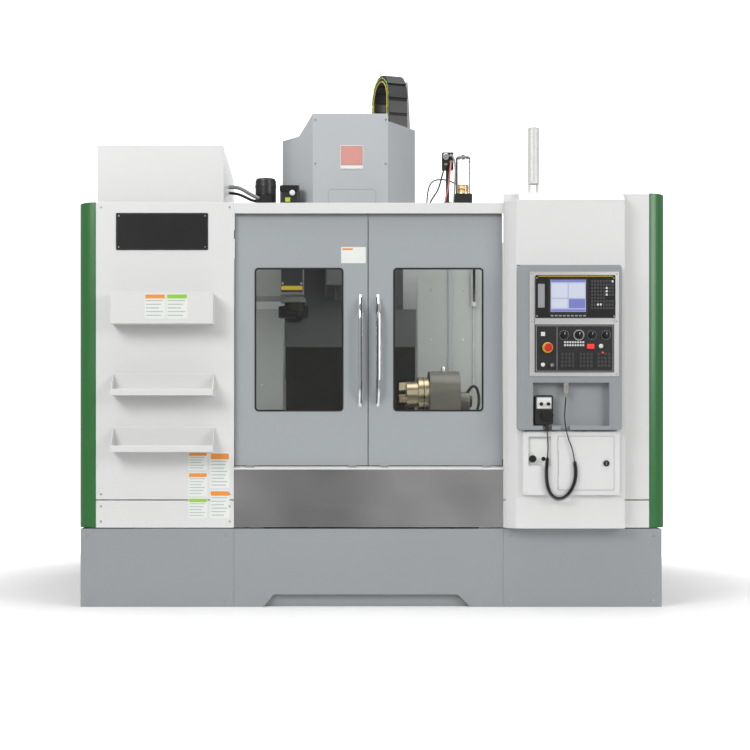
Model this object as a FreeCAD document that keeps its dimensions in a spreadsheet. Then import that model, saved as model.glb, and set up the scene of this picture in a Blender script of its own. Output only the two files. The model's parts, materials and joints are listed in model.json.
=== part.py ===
import FreeCAD, Part
import math
import os
import re
import Sketcher
from FreeCAD import Vector

# A vertical machining centre in millimetres: +Z is up, the operator stands on the -Y side,
# and the origin is on the floor, in the middle of the machine.

doc = FreeCAD.newDocument("MachiningCenter")
sheet = doc.addObject("Spreadsheet::Sheet", "Sizes")

SIZES = {
    # enclosure
    "half_width": 1490,
    "front_face": 1080,
    "rear_face": 1080,
    "panel_top": 2045,
    "cabinet_rise": 45,
    "base_top": 395,
    "sheet_metal": 3,
    "post_radius": 92,
    "panel_seam": 540,
    "seam_gap": 5,
    "running_gap": 0.3,
    # door opening
    "opening_left": 700,
    "opening_right": 660,
    "sill_top": 703,
    "beam_bottom": 1988,
    "door_meet": 20,
    "door_recess": 28,
    "door_thick": 30,
    "track_reach": 645,
    "window_side": 104,
    "window_inner": 127,
    "window_bottom": 990,
    "window_top": 1715,
    "window_corner": 18,
    "glass_thick": 6,
    "handle_bottom": 1037,
    "handle_top": 1557,
    "handle_radius": 14,
    "handle_reach": 42,
    "handle_inset": 40,
    # spindle line, table and travels
    "spindle_x": 70,
    "spindle_y": 280,
    "nose_height": 1600,
    "table_top": 940,
    "table_length": 1200,
    "table_width": 600,
    "table_thick": 120,
    "slot_width": 18,
    "slot_pitch": 100,
    "saddle_length": 1540,
    "saddle_width": 520,
    "saddle_top": 700,
    "saddle_bottom": 530,
    "bed_top": 480,
    "bed_half": 550,
    "bed_front": 980,
    "foot_height": 60,
    "rail_wide": 45,
    "rail_high": 38,
    "column_half": 330,
    "column_front": 480,
    "column_back": 1010,
    "column_rise": 255,
    "spindle_radius": 60,
    "shaft_gap": 0.08,
    "table_shift": 20,
    "bed_rail_spread": 280,
    "saddle_rail_spread": 180,
    "column_rail_spread": 220,
    "carriage_half": 220,
    "taper_wide": 22.2,
    "taper_narrow": 12.7,
    "taper_deep": 65.4,
    # fourth axis
    "rotary_left": 350,
    "rotary_right": 520,
    "rotary_rise": 160,
    "rotary_radius": 130,
    "chuck_radius": 95,
    "chuck_face": 290,
    "step_radius": 72,
    "step_face": 225,
    "jaw_tip": 185,
    "jaw_half": 14,
    "jaw_inner": 22,
    "jaw_outer": 66,
    # way cover
    "slat_half": 400,
    "slat_narrowing": 4,
    "slat_nesting": 6,
    "slat_front": 112,
    "slat_step": 200.5,
    "slat_high": 230,
    # tool changer
    "arm_offset": 340,
    "magazine_radius": 305,
    "magazine_height": 2000,
    "pot_radius": 34,
    "pot_count": 24,
    "pot_length": 78,
    "case_reach": 215,
    # trays and hood on the left
    "tray_left": 1309,
    "tray_right": 799,
    "tray_reach": 110,
    "tray_lip": 30,
    "closed_tray_bottom": 1423,
    "closed_tray_top": 1580,
    "middle_tray_bottom": 1066,
    "middle_tray_top": 1179,
    "lower_tray_bottom": 783,
    "lower_tray_top": 911,
    "hood_left": 1435,
    "hood_right": 771,
    "hood_front": 780,
    "hood_back": 230,
    "hood_rise": 352,
    # inner walls and coolant tank
    "guard_left": 1250,
    "guard_right": 1210,
    "guard_back": 350,
    "guard_top": 1640,
    "tank_left": 500,
    "tank_right": 900,
    "tank_high": 460,
    "tank_wall": 4,
    # cover over the head, and its cable carrier
    "bonnet_front": 480,
    "bonnet_corner": 250,
    "bonnet_left": 471,
    "bonnet_slope": 377,
    "bonnet_fold_left": 300,
    "bonnet_fold_right": 112,
    "bonnet_right": 278,
    "bonnet_rise": 589,
    "bonnet_left_rise": 487,
    "bonnet_right_rise": 548,
    "bonnet_overlap": 50,
    "chain_left": 98,
    "chain_front": 45,
    "chain_rise": 789,
    "chain_inner": 95,
    "chain_thick": 42,
    "chain_wide": 112,
    "chain_lean": 18,
    "chain_links": 9,
    # lubricator, signal tower and work light
    "cup_x": 462,
    "cup_radius": 31,
    "cup_wall": 3,
    "cup_high": 185,
    "valve_x": 383,
    "tower_x": 819,
    "tower_radius": 28,
    "tower_high": 280,
    "light_x": 676,
    "light_bottom": 1660,
    "light_high": 236,
    "light_radius": 16,
    # operator's console
    "console_left": 672,
    "console_right": 1259,
    "console_reach": 70,
    "fascia_left": 717,
    "fascia_right": 1235,
    "fascia_bottom": 893,
    "fascia_top": 1713,
    "fascia_thick": 45,
    "bezel_left": 774,
    "bezel_right": 1220,
    "bezel_bottom": 1159,
    "bezel_top": 1680,
    "screen_left": 803,
    "screen_right": 1200,
    "screen_bottom": 1450,
    "screen_top": 1662,
    "keys_left": 801,
    "keys_right": 1194,
    "keys_bottom": 1179,
    "keys_top": 1416,
    "pocket_left": 793,
    "pocket_right": 1172,
    "pocket_bottom": 914,
    "pocket_top": 1128,
    "pocket_depth": 40,
    "box_left": 747,
    "box_right": 1228,
    "box_bottom": 569,
    "box_top": 885,
    "box_reach": 25,
    "bay_left": 773,
    "bay_right": 884,
    "bay_bottom": 713,
    "bay_top": 860,
    "bay_middle": 749,
    "leaf_left": 922,
    "leaf_right": 1198,
    "leaf_bottom": 595,
    "leaf_top": 861,
    "leaf_thick": 3,
    "knuckle_radius": 3,
    "latch_x": 1160,
    "latch_z": 727,
    # controls on the key plate and the pendant
    "control_x": 864,
    "square_x": 840,
    "key_x": 885,
    "start_z": 1369,
    "stop_z": 1302,
    "hold_z": 1217,
    "lock_z": 1215,
    "dial_z": 967,
    "selector_z": 1022,
}

# what stands on or through the roof rises with it
HEIGHTS = {
    "cabinet_top": "=panel_top + cabinet_rise",
    "column_top": "=panel_top + column_rise",
    "hood_top": "=panel_top + hood_rise",
    "bonnet_top": "=panel_top + bonnet_rise",
    "bonnet_left_top": "=panel_top + bonnet_left_rise",
    "bonnet_right_top": "=panel_top + bonnet_right_rise",
    "chain_axis": "=panel_top + chain_rise",
}

for row, (alias, entry) in enumerate((SIZES | HEIGHTS).items(), start=1):
    sheet.set(f"A{row}", alias)
    sheet.set(f"B{row}", str(entry))
    sheet.setAlias(f"B{row}", alias)
doc.recompute()

NODES = []


# ---------------------------------------------------------------- helpers
def formula(text):
    """A formula with plain size names, as the document's expression engine reads it."""
    return re.sub(r"[a-z_]+[a-z_0-9]*", lambda word: "Sizes." + word.group(), str(text))


def number(text):
    """What a formula comes to with the sizes in the sheet."""
    return float(sheet.evalExpression(formula(text)))


def bind(thing, place, text):
    thing.setExpression(place, formula(text))


def seat(thing, corner):
    for letter, text in zip("xyz", corner):
        bind(thing, f"Placement.Base.{letter}", text)


def box(x, y, z, name="Block"):
    """A block given by its (low, high) formulas along X, Y and Z."""
    block = doc.addObject("Part::Box", name)
    for prop, (low, high) in zip(("Length", "Width", "Height"), (x, y, z)):
        bind(block, prop, f"({high}) - ({low})")
    seat(block, (x[0], y[0], z[0]))
    return block


TURNS = {"X": (Vector(0, 1, 0), 90), "Y": (Vector(1, 0, 0), -90), "Z": (Vector(0, 0, 1), 0)}


def rod(axis, start, radius, length, name="Rod"):
    """A round bar from its start point along +X, +Y or +Z."""
    bar = doc.addObject("Part::Cylinder", name)
    bind(bar, "Radius", radius)
    bind(bar, "Height", length)
    bar.Placement.Rotation = FreeCAD.Rotation(*TURNS[axis])
    seat(bar, start)
    return bar


def cone(axis, start, radius1, radius2, length, name="Cone"):
    taper = doc.addObject("Part::Cone", name)
    bind(taper, "Radius1", radius1)
    bind(taper, "Radius2", radius2)
    bind(taper, "Height", length)
    taper.Placement.Rotation = FreeCAD.Rotation(*TURNS[axis])
    seat(taper, start)
    return taper


def cut(base, *tools):
    for tool in tools:
        left = doc.addObject("Part::Cut", "Cut")
        left.Base, left.Tool = base, tool
        base = left
    return base


def fuse(*pieces):
    joined = doc.addObject("Part::MultiFuse", "Joined")
    joined.Shapes = list(pieces)
    return joined


def rounded(solid, axis, radius):
    """The solid with its edges along one axis rounded."""
    doc.recompute()
    way = {"X": Vector(1, 0, 0), "Y": Vector(0, 1, 0), "Z": Vector(0, 0, 1)}[axis]
    size = number(radius)
    picked = []
    for index, edge in enumerate(solid.Shape.Edges, start=1):
        line = edge.Curve
        if isinstance(line, Part.Line) and abs(line.Direction.dot(way)) > 0.999:
            picked.append((index, size, size))
    soft = doc.addObject("Part::Fillet", "Rounded")
    soft.Base = solid
    soft.Edges = picked
    return soft


def profile(role, points, length, start=(0, 0, 0), name="Profile"):
    """A PartDesign body: a closed outline of formulas on a base plane, padded by length."""
    body = doc.addObject("PartDesign::Body", name)
    sketch = body.newObject("Sketcher::SketchObject", name + "Outline")
    plane = [part for part in body.Origin.OriginFeatures if part.Role == role][0]
    sketch.AttachmentSupport = [(plane, "")]
    sketch.MapMode = "FlatFace"
    spots = [Vector(number(a), number(b), 0) for a, b in points]
    for here, there in zip(spots, spots[1:] + spots[:1]):
        sketch.addGeometry(Part.LineSegment(here, there))
    for line in range(len(points)):
        after = (line + 1) % len(points)
        sketch.addConstraint(Sketcher.Constraint("Coincident", line, 2, after, 1))
    for line, (point, spot) in enumerate(zip(points, spots)):
        for kind, text, value in zip(("DistanceX", "DistanceY"), point, spot):
            rule = sketch.addConstraint(Sketcher.Constraint(kind, -1, 1, line, 1, value))
            bind(sketch, f"Constraints[{rule}]", text)
    pad = body.newObject("PartDesign::Pad", name + "Pad")
    pad.Profile = sketch
    bind(pad, "Length", length)
    seat(body, start)
    return body


def node(label, *pieces):
    """Closes a named node. Several pieces stay separate solids in it."""
    thing = pieces[0]
    if len(pieces) > 1:
        thing = doc.addObject("Part::Compound", "Node")
        thing.Links = list(pieces)
    thing.Label = label
    NODES.append(thing)
    return thing


# ---------------------------------------------------------------- bed and column
def make_bed():
    """The cast bed on its feet, with two Y rails on top and the Y servo in its front bay."""
    body = box(
        ("-bed_half", "bed_half"), ("-bed_front", "column_back"), ("foot_height", "bed_top")
    )
    trough = box(
        ("-bed_half + 130", "bed_half - 130"), ("-bed_front - 1", "-bed_front + 120"),
        ("foot_height + 60", "bed_top - 60"),
    )
    relief = box(
        ("-rail_wide * 3", "rail_wide * 3"), ("-bed_front + 60", "column_front - 60"),
        ("bed_top - 90", "bed_top + 1"),
    )
    rails = [
        box(
            (
                f"{side} * bed_rail_spread - rail_wide / 2 - table_shift",
                f"{side} * bed_rail_spread + rail_wide / 2 - table_shift",
            ),
            ("-bed_front + 60", "column_front - 120"), ("bed_top", "bed_top + rail_high"),
        )
        for side in (-1, 1)
    ]
    drive = rounded(
        box(("-85", "85"), ("-bed_front + 120 - 100", "-bed_front + 120"), ("200", "370")), "Y", "14"
    )
    node("bed", cut(body, trough, relief), *rails, drive, *feet())


def feet():
    """Six levelling feet: a cone pad and a stud each."""
    pads = []
    for across in ("-bed_half + 70", "bed_half - 70"):
        for along in ("-bed_front + 90", "0", "column_back - 90"):
            pad = cone("Z", (across, along, 0), "65", "48", "foot_height / 2")
            stud = rod("Z", (across, along, "foot_height / 2"), "24", "foot_height / 2")
            pads.append(fuse(pad, stud))
    return pads


def make_column():
    """A hollow column with two Z rails on its front and the Z servo on top."""
    body = box(
        ("-spindle_x - column_half", "-spindle_x + column_half"),
        ("column_front", "column_back"), ("bed_top", "column_top"),
    )
    hollow = box(
        ("-spindle_x - column_half + 60", "-spindle_x + column_half - 60"),
        ("column_front + 60", "column_back - 60"), ("bed_top + 120", "column_top - 120"),
    )
    window = box(
        ("-spindle_x - column_half / 2", "-spindle_x + column_half / 2"),
        ("column_back - 61", "column_back + 1"), ("bed_top + 400", "column_top - 500"),
    )
    rails = [
        box(
            (
                f"-spindle_x + {side} * column_rail_spread - rail_wide / 2",
                f"-spindle_x + {side} * column_rail_spread + rail_wide / 2",
            ),
            ("column_front - rail_high", "column_front"), ("table_top", "column_top - 10"),
        )
        for side in (-1, 1)
    ]
    lift = rounded(
        box(
            ("-spindle_x - 90", "-spindle_x + 90"), ("column_front + 80", "column_front + 260"),
            ("column_top", "column_top + 190"),
        ),
        "Z", "14",
    )
    node("column", cut(body, hollow, window), *rails, lift)


def make_saddle():
    """The saddle: carriages round the Y rails, the X rails on top and the X servo at its end."""
    low, high = "-spindle_y - saddle_width / 2", "-spindle_y + saddle_width / 2"
    body = box(
        ("-table_shift - saddle_length / 2", "-table_shift + saddle_length / 2"), (low, high),
        ("saddle_bottom + 30", "saddle_top"),
    )
    feet, slots = [], []
    for side in (-1, 1):
        feet.append(
            box(
                (f"{side} * bed_rail_spread - 75", f"{side} * bed_rail_spread + 35"), (low, high),
                ("bed_top + 8", "saddle_bottom + 30"),
            )
        )
        slots.append(
            box(
                (
                    f"{side} * bed_rail_spread - table_shift - rail_wide / 2 - running_gap",
                    f"{side} * bed_rail_spread - table_shift + rail_wide / 2 + running_gap",
                ),
                (f"{low} - 1", f"{high} + 1"), ("bed_top", "bed_top + rail_high + running_gap"),
            )
        )
    casting = cut(fuse(body, *feet), *slots)
    rails = [
        box(
            ("-table_shift - saddle_length / 2", "-table_shift + saddle_length / 2"),
            (
                f"-spindle_y + {side} * saddle_rail_spread - rail_wide / 2",
                f"-spindle_y + {side} * saddle_rail_spread + rail_wide / 2",
            ),
            ("saddle_top", "saddle_top + rail_high"),
        )
        for side in (-1, 1)
    ]
    servo = rounded(
        box(
            ("-table_shift + saddle_length / 2", "-table_shift + saddle_length / 2 + 150"),
            ("-spindle_y - 70", "-spindle_y + 70"), ("saddle_top - 140", "saddle_top"),
        ),
        "X", "12",
    )
    node("saddle", casting, *rails, servo)


def make_table():
    """The T-slotted table with its carriages round the X rails."""
    low, high = "-spindle_y - table_width / 2", "-spindle_y + table_width / 2"
    left, right = "-table_shift - table_length / 2", "-table_shift + table_length / 2"
    body = box((left, right), (low, high), ("table_top - table_thick", "table_top"))
    tools = []
    for index in range(-2, 3):
        middle = f"-spindle_y + {index} * slot_pitch"
        tools.append(
            box(
                (f"{left} - 1", f"{right} + 1"),
                (f"{middle} - slot_width / 2", f"{middle} + slot_width / 2"),
                ("table_top - 32", "table_top + 1"),
            )
        )
        tools.append(
            box(
                (f"{left} - 1", f"{right} + 1"),
                (f"{middle} - slot_width * 0.85", f"{middle} + slot_width * 0.85"),
                ("table_top - 32", "table_top - 18"),
            )
        )
    blocks = []
    for side in (-1, 1):
        rail = f"-spindle_y + {side} * saddle_rail_spread"
        block = box(
            ("-table_shift - carriage_half", "-table_shift + carriage_half"),
            (f"{rail} - 60", f"{rail} + 60"), ("saddle_top + 8", "table_top - table_thick"),
        )
        slot = box(
            ("-table_shift - carriage_half - 1", "-table_shift + carriage_half + 1"), (
                f"{rail} - rail_wide / 2 - running_gap", f"{rail} + rail_wide / 2 + running_gap"
            ),
            ("saddle_top", "saddle_top + rail_high + running_gap"),
        )
        blocks.append(cut(block, slot))
    node("table", cut(fuse(body, *blocks), fuse(*tools)))


def make_rotary_table():
    """The hump-backed housing of the fourth axis and its stepped three-jaw chuck."""
    centre = "table_top + rotary_rise"
    wide = "rotary_right - rotary_left"
    foot = box(
        ("rotary_left", "rotary_right"),
        ("-spindle_y - rotary_radius", "-spindle_y + rotary_radius"), ("table_top", centre),
    )
    hump = rod("X", ("rotary_left", "-spindle_y", centre), "rotary_radius", wide)
    bore = rod("X", ("rotary_left - 1", "-spindle_y", centre), "40", "60")
    motor = rod("X", ("rotary_right", "-spindle_y", f"{centre} - 40"), "55", "60")
    node("rotary_table", cut(fuse(foot, hump, motor), bore))
    face = rod(
        "X", ("chuck_face", "-spindle_y", centre), "chuck_radius", "rotary_left - chuck_face - running_gap"
    )
    step = rod("X", ("step_face", "-spindle_y", centre), "step_radius", "chuck_face - step_face")
    shaft = rod("X", ("rotary_left - running_gap", "-spindle_y", centre), "40 - shaft_gap", "58")
    jaws = [jaw(turn) for turn in (0, 120, 240)]
    node("rotary_chuck", fuse(face, step, shaft, *jaws))


def jaw(turn):
    """A chuck jaw, turned about the chuck's axis from the top."""
    low, high = number("step_face"), number("jaw_inner")
    deep, wide = low - number("jaw_tip"), 2 * number("jaw_half")
    tall = number("jaw_outer") - high
    solid = Part.makeBox(deep, wide, tall, Vector(number("jaw_tip"), -wide / 2, high))
    solid.rotate(Vector(), Vector(1, 0, 0), turn)
    solid.translate(Vector(0, -number("spindle_y"), number("table_top + rotary_rise")))
    piece = doc.addObject("Part::Feature", "Jaw")
    piece.Shape = solid
    return piece


def make_head():
    """The cast head with its slide plate, spindle cartridge and motor."""
    nose = "nose_height"
    body = box(
        ("-spindle_x - 155", "-spindle_x + 155"), ("-spindle_y - 150", "column_front - 80"),
        (f"{nose} + 100", f"{nose} + 430"),
    )
    nose_end = rod("Z", ("-spindle_x", "-spindle_y", f"{nose} + 30"), "105", "80")
    slide = box(
        ("-spindle_x - 280", "-spindle_x + 280"), ("column_front - 80", "column_front - 8"),
        (f"{nose} + 60", f"{nose} + 560"),
    )
    slots = [
        box(
            (
                f"-spindle_x + {side} * column_rail_spread - rail_wide / 2 - running_gap",
                f"-spindle_x + {side} * column_rail_spread + rail_wide / 2 + running_gap",
            ),
            ("column_front - rail_high - running_gap", "column_front"), (f"{nose} + 59", f"{nose} + 561"),
        )
        for side in (-1, 1)
    ]
    bore = rod("Z", ("-spindle_x", "-spindle_y", f"{nose}"), "spindle_radius + shaft_gap", "425")
    motor = rounded(
        box(
            ("-spindle_x - 120", "-spindle_x + 120"), ("-spindle_y - 120", "-spindle_y + 120"),
            (f"{nose} + 430", f"{nose} + 900"),
        ),
        "Z", "20",
    )
    node("spindle_head", cut(fuse(body, nose_end, slide), bore, *slots), motor, way_cover_plate(0))


def make_spindle():
    """The spindle with its 7/24 taper and two drive keys."""
    nose = "nose_height"
    shaft = rod("Z", ("-spindle_x", "-spindle_y", f"{nose} + 20"), "spindle_radius", "400")
    flange = rod("Z", ("-spindle_x", "-spindle_y", nose), "48", "21")
    taper = cone("Z", ("-spindle_x", "-spindle_y", nose), "taper_wide", "taper_narrow", "taper_deep")
    keys = [
        box(
            (f"-spindle_x + {side} * 38 - 9", f"-spindle_x + {side} * 38 + 9"),
            ("-spindle_y - 8", "-spindle_y + 8"), (f"{nose} - 8", f"{nose} + 1"),
        )
        for side in (-1, 1)
    ]
    node("spindle", cut(fuse(shaft, flange, *keys), taper))


# ---------------------------------------------------------------- tool changer
ARM_X = "-spindle_x - arm_offset"


def make_gearbox():
    """The tool changer's gear case, its bracket to the column and its two motors on top."""
    left, right = f"{ARM_X} - 230", f"{ARM_X} + 60"
    near, far = "-spindle_y - 120", "-spindle_y + 180"
    case = box((left, f"{ARM_X} - 70"), (near, far), ("nose_height + 40", "magazine_height + 100"))
    arm_case = box(
        (f"{ARM_X} - 70", right), ("-spindle_y - case_reach", far), (
            "nose_height + 40", "magazine_height + 30"
        )
    )
    bracket = box(
        (left, f"{ARM_X} - 70"), (far, "column_front + 120"),
        ("nose_height + 250", "nose_height + 400"),
    )
    pad = box(
        (f"{ARM_X} - 70", "-spindle_x - column_half"), ("column_front + 10", "column_front + 120"),
        ("nose_height + 250", "nose_height + 400"),
    )
    collar = rod("Z", (ARM_X, "-spindle_y", "nose_height + 15"), "70", "26")
    shaft_bore = rod("Z", (ARM_X, "-spindle_y", "nose_height + 14"), "45 + shaft_gap", "300")
    hub_bore = rod("X", (f"{left} - 1", "-spindle_y", "magazine_height"), "25 + shaft_gap", "61")
    node("tool_changer_gearbox", cut(fuse(case, arm_case, bracket, pad, collar), shaft_bore, hub_bore))
    tall = rod("Z", (f"{ARM_X} - 155", "-spindle_y", "magazine_height + 100"), "58", "200")
    lid = rod("Z", (f"{ARM_X} - 155", "-spindle_y", "magazine_height + 300"), "54", "10")
    square = rounded(
        box(
            (f"{ARM_X} - 70", f"{ARM_X} + 36"), ("-spindle_y - case_reach + 5", "-spindle_y - 115"),
            ("magazine_height + 30", "magazine_height + 240"),
        ),
        "Z", "12",
    )
    node("tool_changer_motors", fuse(tall, lid), square)


def make_arm():
    """The plunging shaft and the double-ended gripper arm, parked along Y."""
    shaft = rod("Z", (ARM_X, "-spindle_y", "nose_height - 70"), "45", "240")
    node("arm_shaft", shaft)
    hub = rod("Z", (ARM_X, "-spindle_y", "nose_height - 68"), "84", "60")
    bore = rod("Z", (ARM_X, "-spindle_y", "nose_height - 69"), "45 + shaft_gap", "62")
    beam = box(
        (f"{ARM_X} - 35", f"{ARM_X} + 35"), ("-spindle_y - arm_offset", "-spindle_y + arm_offset"),
        ("nose_height - 62", "nose_height - 20"),
    )
    ends = [
        rod("Z", (ARM_X, f"-spindle_y + {side} * arm_offset", "nose_height - 62"), "52", "42")
        for side in (-1, 1)
    ]
    mouths = []
    for side in (-1, 1):
        middle = f"-spindle_y + {side} * arm_offset"
        mouths.append(rod("Z", (ARM_X, middle, "nose_height - 63"), "32", "44"))
        across = (ARM_X, f"{ARM_X} + 60") if side > 0 else (f"{ARM_X} - 60", ARM_X)
        mouths.append(
            box(across, (f"{middle} - 30", f"{middle} + 30"), ("nose_height - 63", "nose_height - 19"))
        )
    node("change_arm", cut(fuse(hub, beam, *ends), bore, *mouths))


def make_carousel():
    """The magazine disc on its shaft, with a ring of tool pots."""
    left = f"{ARM_X} - 470"
    disc = rod("X", (left, "-spindle_y", "magazine_height"), "magazine_radius + 30", "12")
    shaft = rod("X", (left, "-spindle_y", "magazine_height"), "25", "290")
    hub = rod("X", (left, "-spindle_y", "magazine_height"), "90", "60")
    doc.recompute()
    pots = doc.addObject("Part::Feature", "Pots")
    radius, ring, count = number("pot_radius"), number("magazine_radius"), int(number("pot_count"))
    length, narrow, wide = number("pot_length"), number("taper_narrow"), number("taper_wide")
    deep = number("taper_deep")
    start, along = number(f"{left} + 12"), Vector(1, 0, 0)
    centre = Vector(0, -number("spindle_y"), number("magazine_height"))
    shapes = []
    for index in range(count):
        turn = 2 * math.pi * index / count
        middle = Vector(start, ring * math.cos(turn), ring * math.sin(turn)) + centre
        pot = Part.makeCylinder(radius, length, middle, along)
        taper = Part.makeCone(narrow, wide, deep, middle + along * (length - deep), along)
        shapes.append(pot.cut(taper))
    pots.Shape = Part.makeCompound(shapes)
    node("tool_carousel", fuse(disc, shaft, hub), pots)


def way_cover_plate(index):
    """A plate of the telescopic cover, counted down from the one that hangs on the head."""
    half = f"slat_half - {index} * slat_narrowing"
    front = f"column_front - slat_front + {index} * slat_nesting"
    top = f"nose_height + 40 - {index} * slat_step"
    across = (f"-spindle_x - ({half})", f"-spindle_x + ({half})")
    skin = box(across, (front, f"{front} + 2"), (f"{top} - slat_high", top))
    lip = box(across, (front, f"{front} + 5.5"), (f"{top} - slat_high", f"{top} - slat_high + 4"))
    if index == 0:
        hanger = box(
            ("-spindle_x - 280", "-spindle_x + 280"), (front, "column_front - 50"), (top, f"{top} + 20")
        )
        return fuse(skin, lip, hanger)
    if index == 3:
        behind = ("-spindle_x - slat_half + 20", "-spindle_x + slat_half - 20")
        shelf = box(behind, (front, "column_front"), (f"{top} - slat_high - 10", f"{top} - slat_high + 2"))
        post = box(behind, (front, f"{front} + 8"), ("bed_top", f"{top} - slat_high - 8"))
        return fuse(skin, shelf, post)
    return fuse(skin, lip)


def make_way_covers():
    node("way_cover_upper", way_cover_plate(1))
    node("way_cover_lower", way_cover_plate(2))


# ---------------------------------------------------------------- enclosure
def make_base_covers():
    """Three grey skirts round the foot of the machine; the middle one has a bay cut in it."""
    thick = "sheet_metal"
    face = "-front_face + 2"
    left = fuse(
        box(
            ("-half_width + 14", "-opening_left - running_gap"), (face, f"{face} + {thick}"),
            ("0", "base_top"),
        ),
        box(("-half_width + 14", "-half_width + 14 + sheet_metal"), (face, "rear_face"), ("0", "base_top")),
    )
    right = fuse(
        box(
            ("opening_right + running_gap", "half_width - 28"), (face, f"{face} + {thick}"),
            ("0", "base_top"),
        ),
        box(("half_width - 28 - sheet_metal", "half_width - 28"), (face, "rear_face"), ("0", "base_top")),
    )
    middle = profile(
        "XZ_Plane",
        [
            ("-opening_left + running_gap", "0"), ("-550", "0"), ("-500", "62"), ("430", "62"), ("495", "0"),
            ("opening_right - running_gap", "0"), ("opening_right - running_gap", "base_top"),
            ("-opening_left + running_gap", "base_top"),
        ],
        "sheet_metal", (0, f"{face} + {thick}", 0), "MiddleSkirt",
    )
    kick = box(("-600", "540"), (f"{face} + 30", f"{face} + 33"), ("0", "120"))
    tabs = [
        box((x, f"{x} + 30"), (f"{face} + {thick}", f"{face} + 30"), ("90", "120"))
        for x in ("-600", "510")
    ]
    node("base_covers", left, middle, right, fuse(kick, *tabs))


def make_posts():
    """The rounded green front corners, each a quarter of a tube."""
    posts = []
    for side, top in ((-1, "panel_top"), (1, "cabinet_top")):
        centre = (f"{side} * (half_width - post_radius)", "-front_face + post_radius", "base_top + 5")
        outer = rod("Z", centre, "post_radius", f"{top} - base_top - 5")
        inner = rod("Z", centre, "post_radius - 4", f"{top} - base_top - 5")
        for bar in (outer, inner):
            bar.Angle = 90
            bar.Placement.Rotation = FreeCAD.Rotation(Vector(0, 0, 1), 180 if side < 0 else 270)
        posts.append(cut(outer, inner))
    node("corner_posts", *posts)


def make_front_panels():
    left, right = "-half_width + post_radius + running_gap", "-opening_left - running_gap"
    face, back = "-front_face", "-front_face + sheet_metal"
    main = fuse(
        box((left, right), (face, back), ("panel_seam + seam_gap / 2", "panel_top")),
        box((left, right), (back, "-front_face + 60"), ("panel_top - sheet_metal", "panel_top")),
        box(
            (f"{right} - sheet_metal", right), (back, "-front_face + 18"),
            ("panel_seam + seam_gap / 2", "panel_top - sheet_metal"),
        ),
    )
    low_left = box((left, right), (face, back), ("base_top + 5", "panel_seam - seam_gap / 2"))
    left, right = "opening_right + running_gap", "half_width - post_radius - running_gap"
    strip = box((left, right), (face, back), ("panel_seam + seam_gap / 2", "cabinet_top - sheet_metal"))
    low_right = box((left, right), (face, back), ("base_top + 5", "panel_seam - seam_gap / 2"))
    node("front_panels", main, low_left, strip, low_right)


def make_console():
    """The white console that stands out from the right panel, with a sloping top."""
    def plan(inset, name):
        return profile(
            "XY_Plane",
            [
                (f"console_left + {inset}", "-front_face"), (f"console_left + {inset}", "-front_face - 8"),
                (f"console_left + 14 + {inset}", "-front_face - console_reach * 0.55"),
                (f"console_left + 38 + {inset}", f"-front_face - console_reach * 0.9 + {inset} / 2"),
                (f"fascia_left + {inset}", f"-front_face - console_reach + {inset}"),
                (f"console_right - {inset}", f"-front_face - console_reach + {inset}"),
                (f"console_right - {inset}", "-front_face"),
            ],
            f"panel_top - base_top - 5 - 2 * {inset}", (0, 0, f"base_top + 5 + {inset}"), name,
        )
    cap = profile(
        "YZ_Plane",
        [
            ("-front_face - console_reach", "panel_top"), ("-front_face - 20", "cabinet_top"),
            ("-front_face + 80", "cabinet_top"), ("-front_face + 80", "cabinet_top - sheet_metal"),
            ("-front_face", "cabinet_top - sheet_metal"), ("-front_face", "panel_top"),
        ],
        "console_right - console_left - 60", ("console_left + 60", 0, 0), "Cap",
    )
    node("console", cut(plan("0", "Outside"), plan("sheet_metal", "Inside")), cap)


def make_side_panels():
    left = box(
        ("-half_width", "-half_width + sheet_metal"), ("-front_face + post_radius", "rear_face"),
        ("base_top", "panel_top"),
    )
    right = box(
        ("half_width - sheet_metal", "half_width"), ("-front_face + post_radius", "rear_face"),
        ("base_top", "panel_top"),
    )
    rear = box(("-half_width", "half_width"), ("rear_face", "rear_face + sheet_metal"), ("0", "panel_top"))
    node("side_panels", left, right, rear)


def make_door_frame():
    """The white beam over the doors, the sill under them and the two tracks."""
    reach_left, reach_right = "-opening_left - track_reach", "opening_right + track_reach"
    beam = fuse(
        box(
            ("-opening_left", "opening_right"), ("-front_face", "-front_face + sheet_metal"),
            ("beam_bottom", "panel_top - sheet_metal"),
        ),
        box(
            (reach_left, reach_right), ("-front_face + 19", "-front_face + 80"),
            ("panel_top - 2 * sheet_metal", "panel_top - sheet_metal"),
        ),
        box(
            ("-opening_left", "opening_right"), ("-front_face", "-front_face + 80"),
            ("panel_top - 2 * sheet_metal", "panel_top - sheet_metal"),
        ),
        box(
            (reach_left, reach_right), ("-front_face + 38", "-front_face + 48"),
            ("beam_bottom + 8", "panel_top - 2 * sheet_metal"),
        ),
    )
    sill = fuse(
        box(
            ("-opening_left", "opening_right"), ("-front_face - 8", "-front_face + 83"),
            ("sill_top - 9", "sill_top"),
        ),
        box(
            (reach_left, reach_right), ("-front_face + 20", "-front_face + 70"),
            ("sill_top - 9", "sill_top - 3"),
        ),
        box(
            (reach_left, reach_right), ("-front_face + 38", "-front_face + 48"),
            ("sill_top - 3", "sill_top + 8"),
        ),
    )
    node("door_frame", beam, sill)


def make_apron():
    skin = box(
        ("-opening_left + 1", "opening_right - 1"), ("-front_face - 1", "-front_face + 1"),
        ("base_top + 8", "sill_top - 9"),
    )
    fold = box(
        ("-opening_left + 1", "opening_right - 1"), ("-front_face + 1", "-front_face + 24"),
        ("sill_top - 12", "sill_top - 9"),
    )
    node("stainless_apron", fuse(skin, fold))


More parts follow.
